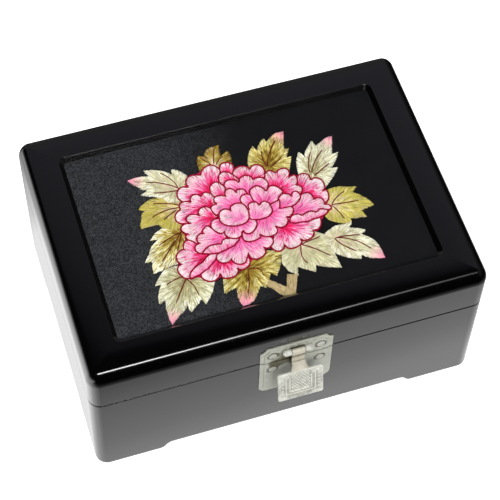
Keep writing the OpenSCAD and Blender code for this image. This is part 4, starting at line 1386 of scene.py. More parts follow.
LEAVES = (
    Leaf("leaf_low_left", Tint.BRONZE, "",
         "-198,19 -229,13 -258,12 -275,5 -297,-5 -320,-27 -296,-30 -320,-47 -337,-73 -354,-97 "
         "-333,-100 -338,-118 -340,-142 -306,-137 -281,-131 -251,-129 -218,-99",
         "-221,-27 -258,-36 -296,-52 | -225,-31 -265,-70 -302,-107 | -224,-37 -235,-57 -248,-84"),
    Leaf("leaf_left", Tint.OLIVE, "",
         "-187,94 -216,111 -244,113 -274,118 -295,112 -314,100 -322,91 -307,81 -318,72 -323,56 "
         "-332,36 -333,22 -306,23 -279,23 -270,5 -249,-7 -220,-10 -195,17",
         "-198,66 -225,82 -272,96 | -200,60 -245,62 -287,51 | -216,53 -236,44 -256,33"),
    Leaf("leaf_far_left", Tint.IVORY, "-327,204",
         "-144,168 -156,186 -168,197 -185,206 -189,185 -196,195 -214,208 -243,221 -269,226 "
         "-261,201 -279,206 -306,207 -327,204 -312,183 -294,161 -277,151 -304,139 -278,129 "
         "-259,120 -245,112 -229,90 -191,84 -164,106",
         "-186,130 -195,164 -221,198 | -187,132 -223,159 -272,179 | -193,123 -223,126 -258,133"),
    Leaf("leaf_front_left", Tint.FERN, "-335,-326",
         "-243,-141 -277,-134 -307,-138 -325,-155 -338,-170 -349,-185 -329,-185 -341,-202 "
         "-350,-224 -354,-248 -331,-240 -337,-261 -339,-288 -338,-307 -335,-326 -323,-314 "
         "-305,-301 -285,-288 -276,-276 -270,-302 -255,-289 -240,-277 -230,-266 -221,-287 "
         "-204,-269 -188,-249 -175,-222 -175,-187 -196,-161",
         "-255,-186 -272,-179 -311,-191 | -255,-190 -280,-224 -304,-258 | -250,-194 -237,-223 -234,-252"),
    Leaf("leaf_back_left", Tint.MOSS, "",
         "-103,167 -103,188 -102,212 -94,228 -90,231 -82,225 -73,226 -69,236 -61,246 -48,251 "
         "-33,251 -18,253 -20,236 -23,219 -24,207 -14,216 -5,221 2,223 7,210 6,195 1,172 -12,148 "
         "-65,146",
         "-63,185 -73,200 -85,215 | -53,188 -47,211 -39,233 | -46,183 -35,195 -22,203"),
    Leaf("leaf_back", Tint.AMBER, "193,243",
         "45,125 49,160 58,185 69,203 82,217 92,196 99,212 112,227 125,235 129,220 148,235 168,244 "
         "193,243 184,214 177,192 174,176 189,177 179,160 170,143 187,146 179,127 166,100 145,70 "
         "80,78 54,98",
         "100,132 98,157 101,184 | 104,131 124,174 155,211 | 112,123 134,134 153,147"),
    Leaf("leaf_back_right", Tint.MINT, "333,183",
         "187,64 188,82 191,107 200,131 213,155 226,134 234,149 246,163 258,175 266,185 273,160 "
         "289,170 310,180 333,183 326,158 318,135 311,116 332,117 317,93 299,74 290,66 312,63 "
         "296,44 278,26 254,5 220,6 192,33",
         "222,69 229,103 246,138 | 229,70 252,105 283,135 | 233,53 259,67 287,82"),
    Leaf("leaf_front_right", Tint.SAGE, "",
         "126,-98 148,-128 166,-139 182,-150 194,-160 204,-188 214,-217 201,-231 202,-253 204,-284 "
         "182,-278 158,-269 144,-261 133,-253 125,-277 108,-265 90,-253 79,-242 71,-274 47,-249 "
         "37,-218 48,-179 75,-130",
         "117,-173 142,-169 173,-164 | 117,-177 146,-199 183,-236 | 110,-179 102,-211 108,-238"),
    Leaf("leaf_right", Tint.GILT, "",
         "249,-7 272,-4 296,-6 318,-15 345,-20 326,-39 343,-52 360,-72 369,-90 374,-100 355,-103 "
         "338,-107 329,-108 338,-136 314,-132 298,-130 284,-126 290,-139 273,-143 252,-133 "
         "231,-121 217,-105 213,-82 217,-42",
         "250,-61 275,-41 298,-31 | 251,-65 287,-70 328,-74 | 248,-69 259,-93 267,-121"),
    Leaf("leaf_far_right", Tint.CREAM, "341,-291",
         "192,-157 208,-148 234,-138 258,-140 277,-142 289,-137 274,-158 300,-168 319,-180 "
         "300,-190 317,-204 331,-222 338,-242 340,-265 341,-291 323,-286 304,-281 292,-274 "
         "275,-259 272,-273 247,-263 230,-255 215,-243 202,-232 196,-204 188,-179",
         "221,-183 250,-184 291,-193 | 228,-184 272,-207 307,-245 | 218,-187 233,-213 262,-242"),
    Leaf("leaf_front", Tint.HUSK, "-108,-326",
         "-148,-219 -152,-236 -159,-269 -138,-263 -118,-259 -122,-273 -124,-295 -122,-312 "
         "-118,-326 -103,-326 -84,-318 -69,-303 -56,-285 -48,-275 -36,-286 -17,-261 -6,-242 8,-257 "
         "21,-239 35,-215 49,-175 10,-163 -48,-157 -120,-192",
         "-67,-209 -77,-251 -91,-288 | -62,-211 -37,-218 -29,-243 | -76,-205 -92,-211 -110,-223"),
)

TWIG_SPREAD = (0.2, 0.14)
TWIGS = (
    Area(spots("-21,-257 -32,-277 5,-326 25,-324 25,-301")[0], np.array((-62.0, 36.0)), Tint.TWIG,
         spread=TWIG_SPREAD),
    Area(spots("41,-259 24,-300 5,-326 43,-333 69,-268")[0], np.array((18.0, 40.0)), Tint.TWIG,
         spread=TWIG_SPREAD),
)


class StitchMap:
    """A fine grid over the silk that says which area owns each spot, and how high the stitches stand."""

    STEP = 0.2
    LOW = np.array((-67.0, -63.0))
    SPAN = np.array((138.0, 112.0))
    SHOULDER = 1.5
    DOME = 0.34
    LIFT = 0.32
    LAYER = 0.012

    def __init__(self) -> None:
        """Makes an empty map."""
        columns, rows = (int(n) for n in self.SPAN / self.STEP)
        self.x, self.y = np.meshgrid(self.LOW[0] + np.arange(columns) * self.STEP,
                                     self.LOW[1] + np.arange(rows) * self.STEP)
        self.owner = np.full(self.x.shape, -1)
        self.height = np.zeros(self.x.shape)
        self.masks: list[np.ndarray] = []
        self.areas: list[Area] = []

    def claim(self, area: Area) -> None:
        """Gives an area its spots, over those of earlier areas."""
        low, high = area.outline.min(axis=0), area.outline.max(axis=0)
        columns, rows = (slice(int(a), int(b) + 2) for a, b in
                         zip((low - self.LOW) / self.STEP, (high - self.LOW) / self.STEP))
        mask = np.zeros(self.x.shape, bool)
        mask[rows, columns] = area.covers(self.x[rows, columns], self.y[rows, columns])
        self.owner[mask] = len(self.areas)
        self.masks.append(mask)
        self.areas.append(area)

    def shape_heights(self) -> None:
        """Swells each owned spot by its distance from the edge of its area, later areas higher."""
        ways = [(dy, dx) for dy in (-1, 0, 1) for dx in (-1, 0, 1) if dy or dx]
        inner = np.ones(self.owner.shape, bool)
        for way in ways:
            inner &= self.owner == np.roll(self.owner, way, axis=(0, 1))
        gap = np.where(inner, self.SHOULDER, 0.0)
        for _ in range(int(self.SHOULDER / self.STEP) + 1):
            for way in ways:
                gap = np.minimum(gap, np.roll(gap, way, axis=(0, 1)) + self.STEP * math.hypot(*way))
        swell = np.sqrt(1 - (1 - np.minimum(gap / self.SHOULDER, 1)) ** 2)
        raised = self.LIFT + self.owner * self.LAYER + self.DOME * swell
        self.height = np.where(self.owner >= 0, raised, 0.0)

    def cells(self, x: np.ndarray, y: np.ndarray) -> tuple[np.ndarray, np.ndarray]:
        """The grid's row and column nearest each place."""
        rows = np.clip(np.rint((y - self.LOW[1]) / self.STEP).astype(int), 0, self.x.shape[0] - 1)
        columns = np.clip(np.rint((x - self.LOW[0]) / self.STEP).astype(int), 0, self.x.shape[1] - 1)
        return rows, columns

    def rise(self, x: np.ndarray, y: np.ndarray) -> np.ndarray:
        """The stitches' height at each place, between the grid's spots."""
        across = (x - self.LOW[0]) / self.STEP
        down = (y - self.LOW[1]) / self.STEP
        column = np.clip(across.astype(int), 0, self.x.shape[1] - 2)
        row = np.clip(down.astype(int), 0, self.x.shape[0] - 2)
        fx, fy = across - column, down - row
        low = self.height[row, column] * (1 - fx) + self.height[row, column + 1] * fx
        high = self.height[row + 1, column] * (1 - fx) + self.height[row + 1, column + 1] * fx
        return low * (1 - fy) + high * fy


def paint_points(obj: bpy.types.Object, colours: np.ndarray) -> None:
    """Keeps a linear colour for each point of a mesh in its thread attribute."""
    paint = obj.data.attributes.new("thread", "FLOAT_COLOR", "POINT")
    rgba = np.ones((len(colours), 4), np.float32)
    rgba[:, :3] = np.clip(colours, 0, 1)
    paint.data.foreach_set("color", rgba.ravel())


@dataclass
class Yarn:
    """Stitches or cords waiting to be made: polylines with a colour at each point."""

    points: list[np.ndarray]
    colours: list[np.ndarray]

    def add(self, points: np.ndarray, colours: np.ndarray) -> None:
        """Adds one polyline in millimetres from the window's middle."""
        self.points.append(points)
        self.colours.append(colours)

    def piece(self, name: str) -> bpy.types.Object:
        """Makes the polylines one wire mesh, painted in its thread attribute."""
        ends = np.cumsum([len(p) for p in self.points])
        edges = [(i, i + 1) for end, line in zip(ends, self.points) for i in range(end - len(line), end - 1)]
        places = np.concatenate(self.points) + np.array((0.0, PLAN.set_back, PLAN.silk))
        obj = piece(name, places * MM, (), edges)
        paint_points(obj, np.concatenate(self.colours))
        return obj


def runs(flags: np.ndarray) -> list[tuple[int, int]]:
    """The first and last index of each unbroken run of true flags."""
    edges = np.flatnonzero(np.diff(np.concatenate(((0,), flags.astype(int), (0,)))))
    return [(int(a), int(b) - 1) for a, b in zip(edges[::2], edges[1::2])]


@dataclass
class Spray:
    """The embroidered peony, its leaves and its twig.

    Lengths are in millimetres. A stitch's tint follows its place between root and edge, by a share of what
    shows uncovered. Some stitches are streaks of an earlier tint, and some are shaded. Rays are crowded near
    a base, so there only every second, fourth or eighth is stitched. A cord looks in and out of a petal to
    learn which areas it parts, and rests on the higher of its two sides.
    """

    pitch: float = 0.44
    thread: float = 0.25
    stitch: float = 3.3
    lap: float = 0.6
    dive: float = 0.16
    cord: float = 0.46
    vein: float = 0.3
    seed: int = 11
    crimson: Colour = linear(144, 0, 42)
    vein_tone: Colour = linear(100, 26, 24)
    blush_tone: Colour = linear(244, 160, 182)
    blush_size: float = 8.0
    blush_core: float = 1.25
    sampling: float = 0.15
    shortest: float = 0.5
    remnant: float = 0.3
    joined: float = 1.0
    stray_length: tuple[float, float] = (0.7, 1.3)
    packed: float = 0.8
    wander: float = 0.18
    sunk: float = 0.35
    bends: tuple[float, ...] = (0.0, 0.2, 0.8, 1.0)
    uncovered: float = 0.65
    streak: float = 0.26
    streaks: float = 0.15
    shade: float = 0.28
    shaded: float = 0.1
    ground_tone: float = 0.8
    ground_under: float = 0.04
    ground_rim: float = 0.02
    ground_every: int = 3
    cord_step: float = 0.25
    cord_looks: tuple[float, float] = (0.45, 0.4)
    cord_bed: float = 0.5
    cord_points: int = 6
    vein_points: int = 4

    def __post_init__(self) -> None:
        """Lays every area on the map, lowest first."""
        self.map = StitchMap()
        self.random = np.random.default_rng(self.seed)
        for area in (*TWIGS, *(leaf.area() for leaf in LEAVES), GROUND, *(petal.area() for petal in PETALS)):
            self.map.claim(area)
        self.map.shape_heights()
        self.first_leaf = len(TWIGS)
        self.first_petal = self.first_leaf + len(LEAVES)

    def paint(self, area: Area, shares: np.ndarray, x: np.ndarray, y: np.ndarray) -> np.ndarray:
        """The thread's colours at shares of the way from root to edge, with the blush near a tip."""
        patches = (np.sin(1.3 * x + 0.5 * y) + np.sin(1.9 * y - 0.8 * x + 2.0)
                   + 0.6 * np.sin(3.1 * x + 2.3 * y))
        colours = area.tint.colours(np.clip(shares + area.mottle * patches, 0, 1))
        if area.blush is not None:
            far = np.hypot(x - area.blush[0], y - area.blush[1])
            near = np.clip(self.blush_core - far / self.blush_size, 0, 1)[:, None]
            colours = colours * (1 - near) + np.array(self.blush_tone) * near
        return colours

    def fan(self, index: int, yarn: Yarn) -> None:
        """Fills what shows of one area with long and short stitches that fan out from its base.

        Args:
            index: the area's number on the map.
            yarn: takes the stitches.
        """
        area, mask = self.map.areas[index], self.map.masks[index]
        base = area.base
        owned_spots = np.stack([self.map.x[mask], self.map.y[mask]], axis=-1) - base
        far = float(np.hypot(*owned_spots.T).max())
        step = self.pitch / far
        turns = np.arctan2(owned_spots[:, 1], owned_spots[:, 0])
        rays = np.unique(np.floor(turns / step).astype(int))
        reach = np.arange(0.0, far + 2 * self.sampling, self.sampling)
        for ray in rays:
            turn = (ray + 0.5) * step
            way = np.array((math.cos(turn), math.sin(turn)))
            rows, columns = self.map.cells(base[0] + reach * way[0], base[1] + reach * way[1])
            owned = self.map.owner[rows, columns] == index
            whole = np.flatnonzero(mask[rows, columns])
            if not owned.any() or not len(whole):
                continue
            edge = reach[whole[-1]]
            for first, last in runs(owned):
                start, end = reach[first], reach[last]
                if end - start > self.shortest:
                    self.stitch_ray(area, yarn, int(ray), step, way, start, end, edge)

    def stitch_ray(self, area: Area, yarn: Yarn, ray: int, step: float, way: np.ndarray, start: float,
                   end: float, edge: float) -> None:
        """Lays the stitches of one ray, from its outer end inwards, each lapping the next.

        Args:
            area: the area that is stitched.
            yarn: takes the stitches.
            ray, step: the ray's number and the angle between rays.
            way: its direction.
            start, end: the part of it that shows, from the area's base.
            edge: where the area's own edge lies on it.
        """
        base, outer = area.base, end
        while outer > start + self.remnant:
            length = self.stitch * self.random.uniform(*self.stray_length)
            inner = max(outer - length, start)
            if inner - start < self.joined:
                inner = start
            crowd = self.pitch * self.packed / max((inner + outer) / 2 * step, 1e-6)
            keep = 2 ** max(0, math.ceil(math.log2(crowd))) if crowd > 1 else 1
            if ray % keep == 0:
                drift = self.random.normal(0, self.wander) * self.pitch
                across = np.array((-way[1], way[0])) * drift
                places = inner + (outer - inner) * np.array(self.bends)
                x = base[0] + way[0] * places + across[0]
                y = base[1] + way[1] * places + across[1]
                z = self.map.rise(x, y) + self.thread * self.sunk
                z[0] -= self.dive
                z[-1] = max(z[-1] - self.dive, self.thread * 0.2)
                whole = places / max(edge, self.shortest)
                shown = (places - start) / max(edge - start, self.shortest)
                streak = self.streak if self.random.random() < self.streaks else 0.0
                stray = self.random.normal(0, area.spread[0])
                shares = (1 - self.uncovered) * whole + self.uncovered * shown + stray - streak
                tone = 1 + self.random.normal(0, area.spread[1])
                tone -= self.shade if self.random.random() < self.shaded else 0.0
                yarn.add(np.stack([x, y, z], axis=-1), self.paint(area, shares, x, y) * tone)
            outer = inner + (self.lap if inner > start else 0.0)
            if inner <= start:
                break

    def outline(self, index: int, yarn: Yarn) -> None:
        """Lays the crimson cord along what shows of a petal's outline."""
        corners = self.map.areas[index].outline
        spans = []
        for a, b in zip(corners, np.roll(corners, -1, axis=0)):
            steps = max(int(np.hypot(*(b - a)) / self.cord_step), 1)
            spans.append(a + (b - a) * (np.arange(steps) / steps)[:, None])
        line = np.concatenate(spans)
        line = (np.roll(line, 1, axis=0) + 2 * line + np.roll(line, -1, axis=0)) / 4
        run = np.roll(line, -2, axis=0) - np.roll(line, 2, axis=0)
        run /= np.maximum(np.hypot(run[:, 0], run[:, 1]), 1e-9)[:, None]
        x, y = line[:, 0], line[:, 1]
        turning = np.sign(np.sum(x * np.roll(y, -1) - y * np.roll(x, -1)))
        self.lay_visible(index, yarn, x, y, -run[:, 1] * turning, run[:, 0] * turning)

    def lay_visible(self, index: int, yarn: Yarn, x: np.ndarray, y: np.ndarray, inward_x: np.ndarray,
                    inward_y: np.ndarray) -> None:
        """Lays cord along the parts of a line with its own area inside it and lower ones outside.

        Args:
            index: the area's number on the map.
            yarn: takes the cords.
            x, y: the line.
            inward_x, inward_y: the way into the area at each of its points.
        """
        inwards, outwards = self.cord_looks
        inside = self.map.owner[self.map.cells(x + inward_x * inwards, y + inward_y * inwards)]
        outside = self.map.owner[self.map.cells(x - inward_x * outwards, y - inward_y * outwards)]
        shown = (inside == index) & (outside < index)
        for first, last in runs(shown):
            if last - first < self.cord_points:
                continue
            part = slice(first, last + 1)
            aside_x, aside_y = inward_x[part] * self.cord_bed, inward_y[part] * self.cord_bed
            z = np.maximum(self.map.rise(x[part] + aside_x, y[part] + aside_y),
                           self.map.rise(x[part] - aside_x, y[part] - aside_y))
            line = np.stack([x[part], y[part], z + self.cord * self.sunk], axis=-1)
            yarn.add(line, np.tile(self.crimson, (len(line), 1)))

    def vein_lines(self, leaf: Leaf, index: int, yarn: Yarn) -> None:
        """Lays the veins of a leaf as bowed cords, where no petal or other leaf covers them."""
        for a, m, b in spots(leaf.veins):
            t = np.linspace(0, 1, 40)[:, None]
            line = a * (1 - t) * (1 - 2 * t) + m * 4 * t * (1 - t) + b * t * (2 * t - 1)
            free = self.map.owner[self.map.cells(line[:, 0], line[:, 1])] == index
            for first, last in runs(free):
                if last - first < self.vein_points:
                    continue
                part = line[first:last + 1]
                z = self.map.rise(part[:, 0], part[:, 1]) + self.thread + self.vein * 0.3
                yarn.add(np.column_stack([part, z]), np.tile(self.vein_tone, (len(part), 1)))

    def stitches(self, name: str, indices: Iterable[int], finish: Finish) -> bpy.types.Object:
        """Makes the stitches of some areas one piece."""
        yarn = Yarn([], [])
        for index in indices:
            self.fan(index, yarn)
        obj = yarn.piece(name)
        tree = Tree("stitch_maker")
        radius = tree.value("Thread radius", "Float", self.thread * MM)
        sides = tree.value("Sides", "Int", 5)
        curve = tree.out("GeometryNodeMeshToCurve", {}, {0: tree.entry.outputs[0]})
        along = tree.out("GeometryNodeSplineParameter", {}, {}, 1)
        curve, run = tree.capture(curve, "run", along)
        ring = tree.out("GeometryNodeCurvePrimitiveCircle", {}, {0: sides, 4: radius})
        ring, way = tree.capture(ring, "way", tree.out("GeometryNodeSplineParameter"))
        tube = tree.out("GeometryNodeCurveToMesh", {}, {0: curve, 1: ring, "Fill Caps": True})
        scaled = tree.out("ShaderNodeMath", {"operation": "DIVIDE"}, {0: run, 1: MM})
        strand = tree.out("ShaderNodeCombineXYZ", {}, {0: way, 1: scaled})
        kept = tree.out("GeometryNodeStoreNamedAttribute", {"data_type": "FLOAT2", "domain": "CORNER"},
                        {0: tube, 2: "strand", 3: strand})
        soft = tree.out("GeometryNodeSetShadeSmooth", {}, {0: kept})
        tree.finish(soft, finish)
        tree.grow(obj)
        return obj

    def cords(self, name: str, yarn: Yarn, radius: float, finish: Finish) -> bpy.types.Object:
        """Makes lines of stem stitch: short slanted stitches, each lapping the one before.

        Args:
            name: the piece's name.
            yarn: the lines.
            radius: the cord's radius in millimetres.
            finish: its thread.

        Returns:
            The piece.
        """
        obj = yarn.piece(name)
        tree = Tree("stem_stitch_maker")
        thick = tree.value("Cord radius", "Float", radius * MM)
        pitch = tree.value("Pitch", "Float", radius * 2.1 * MM)
        slant = tree.value("Slant", "Float", math.radians(13))
        seed = tree.value("Seed", "Int", self.seed)
        curve = tree.out("GeometryNodeMeshToCurve", {}, {0: tree.entry.outputs[0]})
        spaced = tree.out("GeometryNodeResampleCurve", {"mode": "LENGTH"}, {0: curve, "Length": pitch})
        bead = tree.out("GeometryNodeMeshUVSphere", {}, {0: 7, 1: 6, 2: thick})
        bead = tree.out("GeometryNodeTransform", {}, {0: bead, "Scale": (0.82, 1.0, 2.5)})
        bead = tree.out("GeometryNodeSetShadeSmooth", {}, {0: bead})
        tangent = tree.out("GeometryNodeInputTangent")
        facing = tree.out("FunctionNodeAlignRotationToVector", {"axis": "Z"}, {"Vector": tangent})
        lean = tree.out("FunctionNodeAxisAngleToRotation", {}, {"Axis": (0.0, 0.0, 1.0), "Angle": slant})
        turned = tree.out("FunctionNodeRotateRotation", {"rotation_space": "GLOBAL"}, {0: facing, 1: lean})
        size = tree.out("FunctionNodeRandomValue", {"data_type": "FLOAT"}, {2: 0.9, 3: 1.08, "Seed": seed}, 1)
        laid = tree.out("GeometryNodeInstanceOnPoints", {}, {0: spaced, 2: bead, 5: turned, 6: size})
        tree.finish(laid, finish)
        tree.grow(obj)
        return obj

    def ground(self, name: str, indices: range) -> bpy.types.Object:
        """Makes the padding under some areas: a low swelling closed skin on the silk.

        Args:
            name: the piece's name.
            indices: the areas' numbers on the map.

        Returns:
            The piece, painted as its areas are but deeper.
        """
        every = self.ground_every
        owner = self.map.owner[::every, ::every]
        ours = (owner >= indices.start) & (owner < indices.stop)
        inner = ours.copy()
        for way in ((0, 1), (0, -1), (1, 0), (-1, 0)):
            inner &= np.roll(ours, way, axis=(0, 1))
        height = np.where(inner, self.map.height[::every, ::every] - self.ground_under, self.ground_rim)
        cell = ours[:-1, :-1] & ours[1:, :-1] & ours[:-1, 1:] & ours[1:, 1:]
        used = np.zeros(ours.shape, bool)
        for way in ((0, 0), (1, 0), (0, 1), (1, 1)):
            used[way[0]:used.shape[0] - 1 + way[0], way[1]:used.shape[1] - 1 + way[1]] |= cell
        number = np.full(ours.shape, -1)
        number[used] = np.arange(used.sum())
        x, y = self.map.x[::every, ::every][used], self.map.y[::every, ::every][used]
        top = np.column_stack([x, y, height[used]])
        rows, columns = np.nonzero(cell)
        quads = np.stack([number[rows, columns], number[rows, columns + 1], number[rows + 1, columns + 1],
                          number[rows + 1, columns]], axis=-1)
        places = (np.concatenate([top, np.column_stack([x, y, np.full(len(x), 0.0)])])
                  + np.array((0.0, PLAN.set_back, PLAN.silk)))
        faces = np.concatenate([quads, quads[:, ::-1] + len(x)])
        edge = {}
        for quad in quads:
            for i in range(4):
                a, b = int(quad[i]), int(quad[(i + 1) % 4])
                if (b, a) in edge:
                    del edge[(b, a)]
                else:
                    edge[(a, b)] = True
        walls = [(a, a + len(x), b + len(x), b) for a, b in edge]
        obj = piece(name, places * MM, [*faces.tolist(), *walls])
        tones = np.array([linear(*area.tint.value[0].value) for area in self.map.areas])
        paint_points(obj, np.tile(tones[np.clip(owner[used], 0, None)] * self.ground_tone, (2, 1)))
        strand = obj.data.uv_layers.new(name="strand")
        flat = np.zeros((len(obj.data.loops), 2), np.float32)
        corners = np.empty(len(obj.data.loops), np.int32)
        obj.data.loops.foreach_get("vertex_index", corners)
        flat[:] = places[corners, :2]
        strand.data.foreach_set("uv", flat.ravel())
        smooth(obj, 60)
        return obj

    def build(self) -> None:
        """Builds and dresses the padding, stitches, outlines and veins."""
        petals = range(self.first_petal, len(self.map.areas))
        leaves = range(self.first_leaf, self.first_petal)
        twigs = range(0, self.first_leaf)
        dress(self.ground("petal_padding", petals), PETAL_THREAD, "lid", ["peony_petals"])
        dress(self.ground("leaf_padding", leaves), LEAF_THREAD, "lid", ["peony_leaves"])
        dress(self.ground("twig_padding", twigs), STEM_THREAD, "lid", ["peony_stem"])
        dress(self.stitches("petal_stitches", petals, PETAL_THREAD), PETAL_THREAD, "lid")
        dress(self.stitches("leaf_stitches", leaves, LEAF_THREAD), LEAF_THREAD, "lid")
        dress(self.stitches("twig_stitches", twigs, STEM_THREAD), STEM_THREAD, "lid")
        edges, veins = Yarn([], []), Yarn([], [])
        for index in petals[1:]:
            self.outline(index, edges)
        for number, leaf in enumerate(LEAVES):
            self.vein_lines(leaf, self.first_leaf + number, veins)
        dress(self.cords("petal_outlines", edges, self.cord, OUTLINE_THREAD), OUTLINE_THREAD, "lid")
        dress(self.cords("leaf_veins", veins, self.vein, VEIN_THREAD), VEIN_THREAD, "lid")


@dataclass
class SilkPanel:
    """The stretched silk in the lid, dipping a little where the frame's lip holds it."""

    plan: Plan = PLAN
    margin: float = 3.7
    dip: float = 0.12
    dip_width: float = 1.6
    columns: int = 170
    rows: int = 116

    def height(self, x: float, y: float) -> float:
        """Height of the silk over its level at a place, in millimetres."""
        wide, deep = self.plan.window
        gap = min(wide - abs(x), deep - abs(y))
        share = min(max((self.dip_width - gap) / self.dip_width, 0.0), 1.0)
        ripple = 0.05 * math.sin(x * 0.23 + 1.7 * math.sin(y * 0.11)) * math.cos(y * 0.19 + 0.6)
        return -self.dip * share * share * (3 - 2 * share) + ripple * (1 - share)

    def build(self) -> None:
        """Builds and dresses the silk."""
        wide, deep = (half + self.margin for half in self.plan.window)
        points = []
        for row in range(self.rows + 1):
            y = deep * self.spread(row / self.rows)
            for column in range(self.columns + 1):
                x = wide * self.spread(column / self.columns)
                points.append(self.plan.at(x, y, self.plan.silk + self.height(x, y)))
        across = self.columns + 1
        faces = [(r * across + c, r * across + c + 1, (r + 1) * across + c + 1, (r + 1) * across + c)
                 for r in range(self.rows) for c in range(self.columns)]
        obj = piece("stretched_silk", points, faces)
        smooth(obj, 60)
        dress(obj, SILK, "lid", ["silk_panel"])

    @staticmethod
    def spread(share: float) -> float:
        """Turns 0 to 1 into -1 to 1, with steps that shorten towards both ends."""
        return math.sin((share - 0.5) * math.pi) * 0.45 + (2 * share - 1) * 0.55


# ---------------------------------------------------------------- studio


@dataclass(frozen=True)
class Viewpoint:
    """The camera's place and lens, fitted to the photograph's perspective."""

    place: Colour = (-165.287, -472.039, 869.344)
    azimuth: float = -19.261
    elevation: float = 58.146
    roll: float = 1.979
    lens: float = 120.84

    def axes(self) -> tuple[Vector, Vector, Vector]:
        """The camera's right, up and backward directions."""
        az, el, roll = (math.radians(a) for a in (self.azimuth, self.elevation, self.roll))
        back = Vector((math.sin(az) * math.cos(el), -math.cos(az) * math.cos(el), math.sin(el)))
        level = Vector((math.cos(az), math.sin(az), 0.0))
        rise = back.cross(level)
        right = math.cos(roll) * level + math.sin(roll) * rise
        up = math.cos(roll) * rise - math.sin(roll) * level
        return right, up, back

    def build(self) -> None:
        """Makes the camera and looks through it."""
        data = bpy.data.cameras.new("viewpoint")
        data.lens = self.lens
        data.sensor_width = 36.0
        data.clip_end = 50.0
        camera = bpy.data.objects.new("viewpoint", data)
        turned = Matrix(self.axes()).transposed().to_4x4()
        camera.matrix_world = Matrix.Translation(Vector(self.place) * MM) @ turned
        bpy.context.scene.collection.objects.link(camera)
        bpy.context.scene.camera = camera


DOWN, NORTH, EAST = (Vector(way) for way in ((0.0, 0.0, -1.0), (0.0, 1.0, 0.0), (1.0, 0.0, 0.0)))


